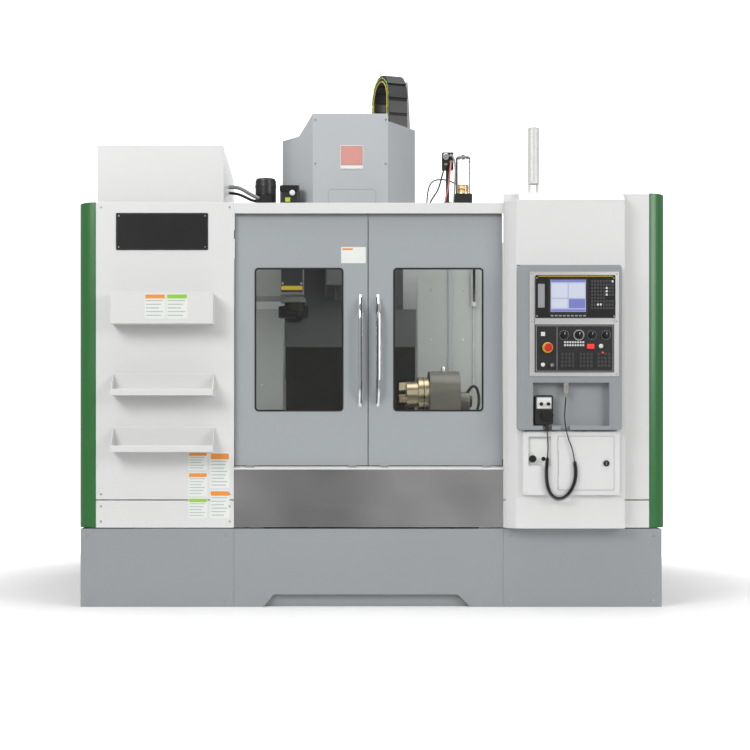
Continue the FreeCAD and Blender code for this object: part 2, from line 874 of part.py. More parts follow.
def make_shelves():
    """Three bent-sheet trays on the left panel: a closed one over two with sloping ends."""
    left, right, face, reach = "-tray_left", "-tray_right", "-front_face", "-front_face - tray_reach"
    across = (f"{left} + sheet_metal", f"{right} - sheet_metal")
    along = (f"{reach} + sheet_metal", f"{face} - sheet_metal")
    outer = box((left, right), (reach, face), ("closed_tray_bottom", "closed_tray_top"))
    inner = box(across, along, ("closed_tray_bottom + sheet_metal", "closed_tray_top + 1"))
    trays = [cut(outer, inner)]
    for name in ("middle", "lower"):
        low, high = f"{name}_tray_bottom", f"{name}_tray_top"
        outline = [(face, low), (reach, low), (reach, f"{low} + tray_lip"), (face, high)]
        solid = profile("YZ_Plane", outline, f"{right} - ({left})", (left, 0, 0), "Tray")
        trays.append(cut(solid, box(across, along, (f"{low} + sheet_metal", f"{high} + 1"))))
    node("tool_shelves", *trays)


def make_magazine_hood():
    left, right, near, far = "-hood_left", "-hood_right", "-hood_front", "hood_back"
    outer = box((left, right), (near, far), ("panel_top", "hood_top"))
    inner = box(
        (f"{left} + sheet_metal", f"{right} - sheet_metal"), (
            f"{near} + sheet_metal", f"{far} - sheet_metal"
        ),
        ("panel_top - 1", "hood_top - sheet_metal"),
    )
    flange = box(("-half_width", left), (near, far), ("panel_top", "panel_top + sheet_metal"))
    node("magazine_hood", fuse(cut(outer, inner), flange))


def make_inner_walls():
    """The splash guard inside: side walls, rear walls, front wall and chip floor."""
    left, right, near, far = "-guard_left", "guard_right", "-front_face + 80", "guard_back"
    low, far_right, back = "bed_top", "guard_right + sheet_metal", "guard_back + sheet_metal"
    floor = (low, f"{low} + sheet_metal")
    walls = [
        box((left, f"{left} + sheet_metal"), (near, far), (low, "guard_top")),
        box((right, far_right), (near, far), (low, "panel_top")),
        box((left, "-480"), (far, back), (low, "guard_top")),
        box(("340", far_right), (far, back), (low, "panel_top")),
        box((left, far_right), (near, f"{near} + sheet_metal"), (low, "sill_top - 9")),
        box((left, "-bed_half + 20"), (near, far), floor),
        box(("bed_half - 20", right), (near, far), floor),
    ]
    node("inner_walls", fuse(*walls), way_cover_plate(3))


def make_coolant_tank():
    """The coolant tank behind the machine, with its pump."""
    left, right = "-tank_left", "tank_right"
    near, far = "rear_face + sheet_metal", "front_face + console_reach + fascia_thick + 34"
    shell = box((left, right), (near, far), ("0", "tank_high"))
    inside = box(
        (f"{left} + tank_wall", f"{right} - tank_wall"), (f"{near} + tank_wall", f"{far} - tank_wall"),
        ("tank_wall", "tank_high + 1"),
    )
    lid = box((left, right), (near, far), ("tank_high", "tank_high + tank_wall"))
    pump = rod("Z", (f"{right} - 300", f"{near} + 70", "tank_high + tank_wall"), "62", "260")
    node("coolant_tank", cut(shell, inside), fuse(lid, pump))


# ---------------------------------------------------------------- doors
def make_door(side, left, right):
    """A sliding door: a folded sheet with a window, gliders top and bottom, and a bowed handle."""
    name = "left" if side < 0 else "right"
    front, back = "-front_face + door_recess", "-front_face + door_recess + door_thick"
    low, high = "sill_top + 11", "beam_bottom + 6"
    if side < 0:
        glass_left, glass_right = f"{left} + window_side", f"{right} - window_inner"
        middle = f"{right} - handle_inset"
    else:
        glass_left, glass_right = f"{left} + window_inner", f"{right} - window_side + 7"
        middle = f"{left} + handle_inset + 8"
    slab = box((left, right), (front, back), (low, high))
    hollow = box(
        (f"{left} + 3", f"{right} - 3"), (f"{front} + 3", f"{back} + 1"),
        (f"{low} + 3", f"{high} - 3"),
    )
    hole = rounded(
        box((glass_left, glass_right), (f"{front} - 1", f"{front} + 4"), ("window_bottom", "window_top")),
        "Y", "window_corner",
    )
    node(f"{name}_door", cut(slab, hollow, hole))
    pane = box(
        (f"{glass_left} - 20", f"{glass_right} + 20"), (f"{front} + 3", f"{front} + 3 + glass_thick"),
        ("window_bottom - 20", "window_top + 20"),
    )
    node(f"{name}_window", pane)

    rail = "-front_face + 43"
    gliders = []
    for spot in (f"{left} + 60", f"{right} - 100"):
        for edge, reach in ((-1, 8), (1, 8)):
            near, far = (f"{rail} - 5 - running_gap - {reach}", f"{rail} - 5 - running_gap")
            if edge > 0:
                near, far = (f"{rail} + 5 + running_gap", f"{rail} + 5 + running_gap + {reach}")
            gliders.append(
                box((spot, f"{spot} + 40"), (near, far), (high, "panel_top - 3 * sheet_metal - 6"))
            )
            gliders.append(box((spot, f"{spot} + 40"), (near, far), ("sill_top + 1", low)))
    grip = handle_bar(middle, front)
    node(f"{name}_door_handle", grip, *gliders)


def handle_bar(middle, front):
    """A bowed tube handle: a straight grip with a bend into the door at each end."""
    doc.recompute()
    x, face = number(middle), number(front)
    low, high = number("handle_bottom"), number("handle_top")
    radius, reach = number("handle_radius"), number("handle_reach")
    lean = reach * 1.6
    points = [
        Vector(x, face + reach / 4, low - lean / 4), Vector(x, face - reach, low + lean),
        Vector(x, face - reach, high - lean), Vector(x, face + reach / 4, high + lean / 4),
    ]
    bar = doc.addObject("Part::Feature", "Grip")
    bar.Shape = tube(points, radius, 0.9)[0].common(
        Part.makeBox(200, 400, 4000, Vector(x - 100, face - 400, 0))
    )
    return bar


def tube(points, radius, share=0.9):
    """A round tube along straight runs and tangent arcs, and the arcs' radii."""
    edges, radii = [], []
    start = points[0]
    for here, corner, there in zip(points, points[1:], points[2:]):
        before, after = corner - here, there - corner
        turn = before.getAngle(after)
        run = 0.5 * share * min(before.Length, after.Length)
        into, out = corner - before.normalize() * run, corner + after.normalize() * run
        bend = run / math.tan(turn / 2)
        middle = corner + (out - corner + into - corner).normalize() * (
            bend / math.cos(turn / 2) - bend
        )
        if (into - start).Length > 1e-6:
            edges.append(Part.LineSegment(start, into).toShape())
        edges.append(Part.Arc(into, middle, out).toShape())
        radii.append(bend)
        start = out
    edges.append(Part.LineSegment(start, points[-1]).toShape())
    path = Part.Wire(edges)
    ring = Part.Wire(Part.makeCircle(radius, points[0], points[1] - points[0]))
    solid = path.makePipeShell([ring], True, False)
    return solid, radii


def make_doors():
    make_door(-1, "-opening_left + 1", "-door_meet - 1")
    make_door(1, "-door_meet + 1", "opening_right - 1")


# ---------------------------------------------------------------- on top of the machine
def bonnet(inset):
    """The solid form of the head's cover, every wall drawn in by inset."""
    near, far = f"-bonnet_front + {inset}", "column_front + 120"
    low = f"panel_top + 5 - {inset}"
    high = f"bonnet_top - {inset}"
    left_top, left_edge = f"bonnet_left_top - {inset}", f"-bonnet_left + {inset}"
    fold_left, fold_right = f"-bonnet_fold_left + {inset}", f"bonnet_fold_right - {inset}"
    right_edge = f"bonnet_right - {inset}"
    centre = box((fold_left, fold_right), (near, far), (low, high))
    left = profile(
        "XY_Plane",
        [
            (left_edge, far), (left_edge, "-bonnet_corner"), (fold_left, near),
            ("-bonnet_fold_left + bonnet_overlap", near), ("-bonnet_fold_left + bonnet_overlap", far),
        ],
        f"{high} - ({low})", (0, 0, low), "LeftFacet",
    )
    slope = profile(
        "XZ_Plane",
        [
            ("-bonnet_left - 1", left_top), ("-bonnet_slope", left_top), ("-bonnet_fold_left", high),
            ("-bonnet_fold_left", "bonnet_top + 1"), ("-bonnet_left - 1", "bonnet_top + 1"),
        ],
        "column_front + bonnet_front + 122", (0, f"{far} + 1", 0), "LeftSlope",
    )
    right = profile(
        "XY_Plane",
        [
            ("bonnet_fold_right - bonnet_overlap", far), ("bonnet_fold_right - bonnet_overlap", near),
            (fold_right, near), (right_edge, "-bonnet_corner"), (right_edge, far),
        ],
        f"bonnet_right_top - {inset} - ({low})", (0, 0, low), "RightFacet",
    )
    return fuse(centre, cut(left, slope), right)


def make_head_cover():
    """The grey three-sided cover round the top of the column and the head."""
    behind, bridge = ("column_front + 40", "column_front + 100"), ("panel_top + 35", "panel_top + 75")
    bridges = [
        box(("-bonnet_left + sheet_metal", "-spindle_x - column_half"), behind, bridge),
        box(("-spindle_x + column_half", "bonnet_right - sheet_metal"), behind, bridge),
    ]
    opening = box(
        ("-spindle_x - column_half - 2", "-spindle_x + column_half + 2"), (
            "column_front - 2", "column_front + 121"
        ),
        ("panel_top", "column_top + 2"),
    )
    guide_top = "chain_axis + 111"
    guide = profile(
        "XZ_Plane",
        [
            ("bonnet_right - 32", "bonnet_right_top"), ("bonnet_right - 1", "bonnet_right_top"),
            ("bonnet_right - 20", guide_top), ("bonnet_right - 32", guide_top),
        ],
        "sheet_metal", (0, 60, 0), "ChainGuide",
    )
    skin = cut(bonnet("0"), bonnet("sheet_metal"), opening)
    node("head_cover", fuse(skin, *bridges, guide))


def make_drag_chain():
    """The cable carrier's arch over the cover: a curved core with a plate for every link."""
    doc.recompute()
    inner, thick, wide = number("chain_inner"), number("chain_thick"), number("chain_wide")
    rise, count, skin = number("chain_axis"), int(number("chain_links")), number("sheet_metal")
    outer = inner + thick
    ring = Part.makeCylinder(outer - skin, wide - 2 * skin, Vector(skin, 0, 0), Vector(1, 0, 0))
    core = ring.cut(Part.makeCylinder(inner + skin, wide, Vector(), Vector(1, 0, 0)))
    pieces = [core.common(Part.makeBox(wide, 4 * outer, 2 * outer, Vector(0, -2 * outer, 0)))]
    for y, foot in ((-outer, "bonnet_right_top"), (inner, "bonnet_top")):
        low = number(foot) - rise
        pieces.append(Part.makeBox(wide, thick, -low, Vector(0, y, low)))
    pitch = 180 / count
    long = 2 * outer * math.sin(math.radians(pitch) / 2) - 2 * skin
    for index in range(count):
        link = Part.makeBox(wide, long, thick, Vector(0, -long / 2, inner - 1))
        link.rotate(Vector(), Vector(1, 0, 0), 90 - pitch * (index + 0.5))
        pieces.append(link)
    chain = pieces[0].multiFuse(pieces[1:])
    lean = FreeCAD.Rotation(Vector(0, 0, 1), number("chain_lean"))
    chain.Placement = FreeCAD.Placement(Vector(number("chain_left"), number("chain_front"), rise), lean)
    arch = doc.addObject("Part::Feature", "Arch")
    arch.Shape = chain
    node("drag_chain", arch)


def make_lubricator():
    """The oil cup on its pump, and the valve block on its stem beside it."""
    middle, sheet_low = "-front_face + 40", "panel_top - sheet_metal"
    base = box(
        ("cup_x - 42", "cup_x + 43"), (f"{middle} - 32", f"{middle} + 32"),
        (sheet_low, "panel_top + 45"),
    )
    cup = rod("Z", ("cup_x", middle, "panel_top + 45"), "cup_radius", "cup_high")
    hollow = rod("Z", ("cup_x", middle, "panel_top + 44"), "cup_radius - cup_wall", "cup_high - 2")
    node("oil_reservoir", cut(cup, hollow))
    stem = rod("Z", ("valve_x", middle, sheet_low), "9", "175")
    foot = box(
        ("valve_x - 21", "valve_x + 21"), (f"{middle} - 22", f"{middle} + 22"), (sheet_low, "panel_top + 3")
    )
    block = box(
        ("valve_x - 28", "valve_x + 28"), (f"{middle} - 20", f"{middle} + 20"), (
            "panel_top + 170", "panel_top + 256"
        )
    )
    node("lubricator", base, fuse(stem, foot, block))


def make_signal_tower():
    middle = "-front_face + 35"
    pole = rod("Z", ("tower_x", middle, "cabinet_top + 52"), "tower_radius", "tower_high")
    legs = []
    for side in (-1, 1):
        leg, pad = f"tower_x + {side} * 20", f"tower_x + {side} * 26"
        legs += [
            box(
                (f"{leg} - 5", f"{leg} + 5"), (f"{middle} - 12", f"{middle} + 12"),
                ("cabinet_top + 3", "cabinet_top + 53"),
            ),
            box(
                (f"{pad} - 12", f"{pad} + 12"), (f"{middle} - 14", f"{middle} + 14"),
                ("cabinet_top", "cabinet_top + 4"),
            ),
        ]
    node("signal_tower", fuse(pole, *legs))


def make_work_light():
    """A tube lamp upright on the rear wall, with its cable clipped straight down."""
    across, wall, low, high = "light_x", "guard_back", "light_bottom", "light_bottom + light_high"
    middle = f"{wall} - 38"
    lamp = rod("Z", (across, middle, low), "light_radius", "light_high")
    caps = [
        rod("Z", (across, middle, base), "light_radius + 2", "18")
        for base in (f"{low} - 10", f"{high} - 11")
    ]
    arms = [
        box((f"{across} - 6", f"{across} + 6"), (middle, wall), (base, f"{base} + 14"))
        for base in (f"{low} - 8", f"{high} - 9")
    ]
    cable = rod("Z", (across, f"{wall} - 8", f"{low} - 555"), "5", "547")
    clips = [
        box(
            (f"{across} - 8", f"{across} + 8"), (f"{wall} - 14", wall),
            (f"{low} - {drop}", f"{low} - {drop} + 8"),
        )
        for drop in (460, 260, 100)
    ]
    node("work_light", fuse(lamp, *caps, *arms), fuse(cable, *clips))


# ---------------------------------------------------------------- operator's console
FACE = "-front_face - console_reach - fascia_thick"
CAVITY = 38
CABLE_Y = f"{FACE} + 5"


def make_fascia():
    """The grey fascia with hollows for the screen and key plates and a pocket for the pendant."""
    block = rounded(
        box(
            ("fascia_left", "fascia_right"), (FACE, "-front_face - console_reach"),
            ("fascia_bottom", "fascia_top"),
        ),
        "Y", "16",
    )
    front = f"{FACE} - 1"
    back = f"{FACE} + {CAVITY}"
    hollows = [
        box(
            ("screen_left + 8", "screen_right - 8"), (front, back),
            ("screen_bottom + 8", "screen_top - 8"),
        ),
        box(("keys_left + 8", "keys_right - 8"), (front, back), ("keys_bottom + 8", "keys_top - 8")),
        box(
            ("pocket_left", "pocket_right"), (front, f"{FACE} + pocket_depth"),
            ("pocket_bottom", "pocket_top"),
        ),
    ]
    for left in ("842", "932"):
        hollows.append(
            box((left, f"{left} + 44"), (front, f"{FACE} + 30"), ("fascia_bottom - 1", "pocket_bottom + 1"))
        )
    plate = box(("bezel_left", "bezel_right"), (f"{FACE} - 3", FACE), ("bezel_bottom", "bezel_top"))
    holes = [
        box(
            ("screen_left + 9", "screen_right - 9"), (f"{FACE} - 4", f"{FACE} + 1"),
            ("screen_bottom + 9", "screen_top - 9"),
        ),
        box(
            ("keys_left + 9", "keys_right - 9"), (f"{FACE} - 4", f"{FACE} + 1"),
            ("keys_bottom + 9", "keys_top - 9"),
        ),
    ]
    node("console_fascia", cut(block, *hollows), cut(plate, *holes))


def make_screen():
    front = f"{FACE} - 12"
    frame = rounded(
        box(("screen_left", "screen_right"), (front, f"{FACE} - 3"), ("screen_bottom", "screen_top")),
        "Y", "6",
    )
    body = box(
        ("screen_left + 10", "screen_right - 10"), (f"{FACE} - 3", f"{FACE} + 30"),
        ("screen_bottom + 10", "screen_top - 10"),
    )
    glass = box(
        ("screen_left + 74", "screen_left + 251"), (f"{front} - 1", f"{front} + 2"),
        ("screen_bottom + 28", "screen_top - 22"),
    )
    node("screen_unit", cut(fuse(frame, body), glass))


ROTARY = {"mode_knob": "945", "feed_knob": "1019", "rapid_knob": "1083", "spindle_knob": "1153"}
KNOB_Z = "keys_top - 52"


def make_key_plate():
    """The operator's plate, and its turning and pushing controls, each in its own hole."""
    front, back = f"{FACE} - 8", f"{FACE} - 3"
    plate = rounded(box(("keys_left", "keys_right"), (front, back), ("keys_bottom", "keys_top")), "Y", "5")
    holes = [rod("Y", (x, f"{front} - 1", KNOB_Z), "5 + shaft_gap", "8") for x in ROTARY.values()]
    holes.append(rod("Y", ("control_x", f"{front} - 1", "stop_z"), "11 + shaft_gap", "8"))
    holes.append(rod("Y", ("key_x", f"{front} - 1", "lock_z"), "9 + shaft_gap", "8"))
    holes.append(rod("Y", ("square_x", f"{front} - 1", "hold_z"), "10 + running_gap", "8"))
    square = ("square_x - 10 - running_gap", "square_x + 10 + running_gap")
    holes.append(
        box(
            square, (f"{front} - 1", f"{back} + 1"),
            ("start_z - 10 - running_gap", "start_z + 10 + running_gap"),
        )
    )
    keys = []
    for row, height in enumerate(("1324", "1309")):
        for column in range(8):
            left = f"945 + {column} * 13"
            keys.append(box((left, f"{left} + 9"), (f"{front} - 1.5", front), (height, f"{height} + 9")))
    for start, columns in (("930", 4), ("1005", 5), ("1085", 4)):
        for row in range(4):
            for column in range(columns):
                left, low = f"{start} + {column} * 16", f"1205 + {row} * 20"
                keys.append(box((left, f"{left} + 13"), (f"{front} - 1.5", front), (low, f"{low} + 15")))
    node("operator_panel", fuse(cut(plate, *holes), *keys))

    for label, x in ROTARY.items():
        skirt = rod("Y", (x, f"{front} - 4 - running_gap", KNOB_Z), "17", "4")
        grip = rod("Y", (x, f"{front} - 20", KNOB_Z), "12", "17")
        bar = box(
            (f"{x} - 3", f"{x} + 3"), (f"{front} - 24", f"{front} - 19"),
            (f"{KNOB_Z} - 12", f"{KNOB_Z} + 12"),
        )
        shaft = rod("Y", (x, f"{front} - 4", KNOB_Z), "5", "30")
        node(label, fuse(skirt, grip, bar, shaft))

    stem = rod("Y", ("control_x", f"{front} - 16", "stop_z"), "11", "44")
    head = rod("Y", ("control_x", f"{front} - 26", "stop_z"), "20", "16")
    node("emergency_stop", fuse(stem, head))
    barrel = rod("Y", ("key_x", f"{front} - 4", "lock_z"), "9", "30")
    bow = box(
        ("key_x - 1.5", "key_x + 1.5"), (f"{front} - 26", f"{front} - 3"),
        ("lock_z - 9", "lock_z + 9"),
    )
    node("key_switch", fuse(barrel, bow))
    node("hold_button", rod("Y", ("square_x", f"{front} - 7", "hold_z"), "10", "30"))
    node(
        "start_button",
        box(
            ("square_x - 10", "square_x + 10"), (f"{front} - 7", f"{front} + 23"),
            ("start_z - 10", "start_z + 10"),
        ),
    )


def make_pendant():
    """The handwheel pendant hung in the pocket, its dial and its two selectors."""
    back = f"{FACE} + pocket_depth"
    face = f"{FACE} + 2"
    shell = rounded(box(("803", "893"), (face, f"{back} - 6"), ("pocket_bottom + 6", "1066")), "Y", "10")
    relief = rod("Z", ("control_x", CABLE_Y, "884"), "9", "38")
    hook = box(("830", "866"), (f"{back} - 6", back), ("1030", "1060"))
    bores = [rod("Y", ("control_x", f"{face} - 1", "dial_z"), "6 + shaft_gap", "22")]
    for x in ("833", "868"):
        bores.append(rod("Y", (x, f"{face} - 1", "selector_z"), "4 + shaft_gap", "16"))
    node("handwheel_pendant", cut(fuse(shell, relief, hook), *bores))
    rim = rod("Y", ("control_x", f"{face} - 14", "dial_z"), "29", "14 - running_gap")
    crank = rod("Y", ("control_x + 14", f"{face} - 30", "dial_z + 15"), "5", "17")
    axle = rod("Y", ("control_x", f"{face} - 2", "dial_z"), "6", "20")
    node("pendant_dial", fuse(rim, crank, axle))
    for label, x in (("pendant_axis_knob", "833"), ("pendant_rate_knob", "868")):
        grip = rod("Y", (x, f"{face} - 12", "selector_z"), "9", "12 - running_gap")
        pin = rod("Y", (x, f"{face} - 2", "selector_z"), "4", "14")
        node(label, fuse(grip, pin))


LEAD_IN = [(957, 1056), (953, 1010), (950, 962), (955, 905), (968, 850), (990, 797), (999, 739)]
CURL = [
    (999, 739), (1005, 706), (1006, 672), (1002, 638), (990, 604), (970, 573), (944, 552), (914, 548),
    (888, 563), (871, 592), (863, 626), (860, 662), (860, 698), (864, 734), (865, 759),
]
LEAD_OUT = [(865, 759), (868, 800), (867, 843), (864, 884)]


def make_cords():
    """The pendant's plug and lead: a thin run, a curly stretch hanging in a loop, a thin run."""
    doc.recompute()
    plug = box(("945", "969"), (f"{FACE} + 2", f"{FACE} + 24"), ("1078", "pocket_top"))
    boot = cone("Z", ("957", CABLE_Y, "1056"), "4", "8", "22")
    node("pendant_plug", fuse(plug, boot))
    for label, route, radius in (
        ("pendant_lead_in", LEAD_IN, 4), ("pendant_curly_cord", CURL, 10.5), (
            "pendant_lead_out", LEAD_OUT, 4
        )
    ):
        shape, radii = tube([Vector(x, number(CABLE_Y), z) for x, z in route], radius)
        length = shape.Volume / (math.pi * radius * radius)
        print(label, "length", round(length), "radii", [round(bend) for bend in radii])
        cord = doc.addObject("Part::Feature", "Cord")
        cord.Shape = shape
        node(label, cord)


def make_lower_box():
    """The white box under the fascia with an open socket bay and a small hinged door."""
    wall = "-front_face - console_reach"
    front = f"{wall} - box_reach"
    shell = box(("box_left", "box_right"), (front, wall), ("box_bottom", "box_top"))
    deep = (f"{front} - 1", f"{wall} - sheet_metal")
    bay = box(("bay_left", "bay_right"), deep, ("bay_bottom", "bay_top"))
    inside = box(("leaf_left + 8", "leaf_right - 8"), deep, ("leaf_bottom + 8", "leaf_top - 8"))
    port = rod("Y", ("bay_left + 22", f"{wall} - 17", "bay_middle"), "14", "14")
    knob = rod("Y", ("bay_right - 36", f"{wall} - 20", "bay_middle"), "10", "17")
    node("service_box", fuse(cut(shell, bay, inside), port, knob))

    near = f"{front} - leaf_thick - running_gap"
    leaf = box(
        ("leaf_left + running_gap", "leaf_right"), (near, f"{front} - running_gap"), (
            "leaf_bottom", "leaf_top"
        )
    )
    knuckles = [
        rod("Z", ("leaf_left", f"{near} - running_gap", low), "knuckle_radius", "50")
        for low in ("leaf_bottom + 20", "leaf_top - 70")
    ]
    bore = rod("Y", ("latch_x", f"{front} - 4", "latch_z"), "9 + shaft_gap", "6")
    node("service_box_door", cut(fuse(leaf, *knuckles), bore))
    cap = rod("Y", ("latch_x", f"{front} - 10", "latch_z"), "15", "7 - 2 * running_gap")
    stem = rod("Y", ("latch_x", f"{front} - 5", "latch_z"), "9", "20")
    tongue = box(
        ("latch_x - 10", "latch_x + 26"), (f"{front} + 12", f"{front} + 15"), ("latch_z - 8", "latch_z + 8")
    )
    node("service_box_latch", fuse(cap, stem, tongue))


# ---------------------------------------------------------------- build and write
def build():
    for make in (
        make_bed, make_column, make_saddle, make_table, make_rotary_table,
        make_head, make_spindle, make_gearbox, make_arm, make_carousel, make_way_covers, make_base_covers,
        make_posts, make_front_panels, make_console, make_side_panels, make_door_frame, make_apron,
        make_shelves, make_magazine_hood, make_inner_walls, make_coolant_tank, make_doors, make_head_cover,
        make_drag_chain, make_lubricator, make_signal_tower, make_work_light, make_fascia,
        make_screen, make_key_plate, make_pendant, make_cords, make_lower_box,
    ):
        make()
    doc.recompute()


def check():
    for thing in doc.Objects:
        if "Invalid" in thing.State or "Error" in thing.State:
            raise ValueError(f"{thing.Name} ({thing.TypeId}) failed: {thing.State}")
    for thing in NODES:
        if thing.Shape.isNull() or not thing.Shape.isValid():
            raise ValueError(f"{thing.Label} has no valid shape")


build()
check()
os.makedirs("parts", exist_ok=True)
for thing in NODES:
    thing.Shape.exportStep(f"parts/{thing.Label}.step")
print(len(NODES), "nodes")
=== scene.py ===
# %% [markdown]
# # A vertical machining centre
# This lesson dresses a finished CAD model of a machining centre: a cabin with two sliding doors, an
# operator's console on the right, tool trays on the left, and the head and tool changer behind.
# The frame holds every piece at its real size, in metres. We only add finishes, rounded edges and
# small parts, and each thing we make rides on a body of the frame so that it moves with it.

# %% Load the frame
import json
import math

import bmesh
import bpy
from mathutils import Matrix, Vector


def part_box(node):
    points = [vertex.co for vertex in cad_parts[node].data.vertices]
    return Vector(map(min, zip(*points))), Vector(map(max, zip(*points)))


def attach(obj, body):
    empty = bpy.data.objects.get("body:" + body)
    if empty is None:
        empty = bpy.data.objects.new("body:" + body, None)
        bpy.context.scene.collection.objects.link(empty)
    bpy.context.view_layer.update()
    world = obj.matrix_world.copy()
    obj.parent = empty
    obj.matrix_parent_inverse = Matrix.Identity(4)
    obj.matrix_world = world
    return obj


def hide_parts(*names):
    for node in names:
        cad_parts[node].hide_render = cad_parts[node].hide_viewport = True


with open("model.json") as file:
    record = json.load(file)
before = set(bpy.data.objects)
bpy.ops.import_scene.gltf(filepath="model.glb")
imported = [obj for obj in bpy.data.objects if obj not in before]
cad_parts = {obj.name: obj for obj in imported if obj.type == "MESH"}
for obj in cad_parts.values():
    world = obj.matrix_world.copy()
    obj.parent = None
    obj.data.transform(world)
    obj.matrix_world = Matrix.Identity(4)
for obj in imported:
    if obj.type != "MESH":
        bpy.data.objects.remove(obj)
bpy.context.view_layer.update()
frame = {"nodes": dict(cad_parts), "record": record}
nodes = frame["nodes"]
record = frame["record"]
body_of_node = {n: b for b, names in record["behaviour"]["bodies"].items() for n in names}

# %% [markdown]
# ## Camera
# We look at the machine almost square on from seven metres, with the eye low and a little left of
# the middle. We keep the camera level and use a small lens shift to frame the whole machine, so
# that upright edges stay upright.

# %% Camera
EYE_SIDE, EYE_HEIGHT, EYE_DISTANCE = -0.316, 0.843, 7.0
LENS_LENGTH, LENS_SHIFT = 66.5, 0.0867

front_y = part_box("front_panels")[0][1]
camera_data = bpy.data.cameras.new("Camera")
camera = bpy.data.objects.new("Camera", camera_data)
bpy.context.scene.collection.objects.link(camera)
camera.location = (EYE_SIDE, front_y - EYE_DISTANCE, EYE_HEIGHT)
camera.rotation_euler = (math.radians(90), 0, 0)
camera_data.lens = LENS_LENGTH
camera_data.shift_x = LENS_SHIFT
camera_data.shift_y = LENS_SHIFT
bpy.context.scene.camera = camera
print("camera", [round(v, 3) for v in camera.location])

# %% [markdown]
# ## Shader node groups
# Several finishes share an effect: the fine orange peel of sprayed paint, the faint change of tone
# over a big sheet, and the drawn lines of brushed metal. Each is a node group with named inputs.
# A group gives out only values and colours, and the shader itself stays in the material.

# %% Helpers for node groups
FLOAT, VECTOR, COLOUR = "NodeSocketFloat", "NodeSocketVector", "NodeSocketColor"


def new_group(name, inputs, outputs):
    """A shader node group with float or colour sockets, its nodes, links, input and output."""
    group = bpy.data.node_groups.new(name, "ShaderNodeTree")
    for label, kind, value in inputs:
        socket = group.interface.new_socket(label, in_out="INPUT", socket_type=kind)
        socket.default_value = value
    for label, kind in outputs:
        group.interface.new_socket(label, in_out="OUTPUT", socket_type=kind)
    return group, group.nodes.new("NodeGroupInput"), group.nodes.new("NodeGroupOutput")


def feed(tree, node, inputs):
    """Link each input that is given a socket, and set each one that is given a value."""
    for label, value in inputs.items():
        if isinstance(value, bpy.types.NodeSocket):
            tree.links.new(value, node.inputs[label])
        else:
            node.inputs[label].default_value = value


def node_in(tree, kind, inputs, **settings):
    """A new node with its own settings, and then its inputs."""
    node = tree.nodes.new(kind)
    for label, value in settings.items():
        setattr(node, label, value)
    feed(tree, node, inputs)
    return node


def object_place(tree):
    return tree.nodes.new("ShaderNodeTexCoord").outputs["Object"]


def noise_in(tree, scale, detail=2.0):
    """A noise texture on Object coordinates; scale is a number or a socket."""
    inputs = {"Scale": scale, "Detail": detail, "Vector": object_place(tree)}
    return node_in(tree, "ShaderNodeTexNoise", inputs).outputs[0]


def math_in(tree, operation, first, second=0.0):
    return node_in(tree, "ShaderNodeMath", {0: first, 1: second}, operation=operation).outputs[0]


def range_in(tree, value, from_min, from_max, to_min, to_max, **settings):
    """Stretch a value from one range to another."""
    inputs = {"Value": value, "From Min": from_min, "From Max": from_max, "To Min": to_min, "To Max": to_max}
    return node_in(tree, "ShaderNodeMapRange", inputs, **settings).outputs["Result"]


def wander(tree, noise, spread, middle):
    """A noise brought to spread round a middle value."""
    centred = math_in(tree, "SUBTRACT", noise, 0.5)
    return math_in(tree, "ADD", math_in(tree, "MULTIPLY", centred, spread), middle)


print("helpers for shader nodes ready")


# %% Sheet tone: slow changes of colour over a sprayed sheet
LOW_DARK_HEIGHT, PATCH_SHARE = 0.4, 0.35


def make_sheet_tone():
    group, entry, leave = new_group(
        "Sheet tone",
        [
            ("Paint", COLOUR, (0.8, 0.8, 0.8, 1)), ("Shade", COLOUR, (0.7, 0.7, 0.7, 1)),
            ("Patch scale", FLOAT, 1.5), ("Floor dust", FLOAT, 0.25),
        ],
        [("Colour", COLOUR)],
    )
    patches = math_in(group, "MULTIPLY", noise_in(group, entry.outputs["Patch scale"], 4.0), PATCH_SHARE)
    height = node_in(group, "ShaderNodeSeparateXYZ", {0: object_place(group)}).outputs["Z"]
    # Darker towards the bottom: below a set height the paint turns towards its darker tone.
    low = range_in(group, height, 0.0, LOW_DARK_HEIGHT, 1.0, 0.0)
    low_dark = math_in(group, "MULTIPLY", low, entry.outputs["Floor dust"])
    paints = {"A": entry.outputs["Paint"], "B": entry.outputs["Shade"]}
    mix = node_in(
        group, "ShaderNodeMix", {"Factor": math_in(group, "ADD", patches, low_dark), **paints}, data_type="RGBA",
    )
    feed(group, leave, {"Colour": mix.outputs["Result"]})
    return group


sheet_tone = make_sheet_tone()
print("group", sheet_tone.name)


# %% Spray grain: orange peel height and its trace in the roughness
def make_spray_grain():
    group, entry, leave = new_group(
        "Spray grain",
        [("Grain scale", FLOAT, 420.0), ("Roughness", FLOAT, 0.4), ("Spread", FLOAT, 0.12)],
        [("Height", FLOAT), ("Rough", FLOAT)],
    )
    rough = wander(group, noise_in(group, 6.0, 3.0), entry.outputs["Spread"], entry.outputs["Roughness"])
    feed(group, leave, {"Height": noise_in(group, entry.outputs["Grain scale"], 1.0), "Rough": rough})
    return group


spray_grain = make_spray_grain()
print("group", spray_grain.name)


# %% Drawn lines: the brushing of stainless sheet and turned steel
LINE_SPREAD = 0.25


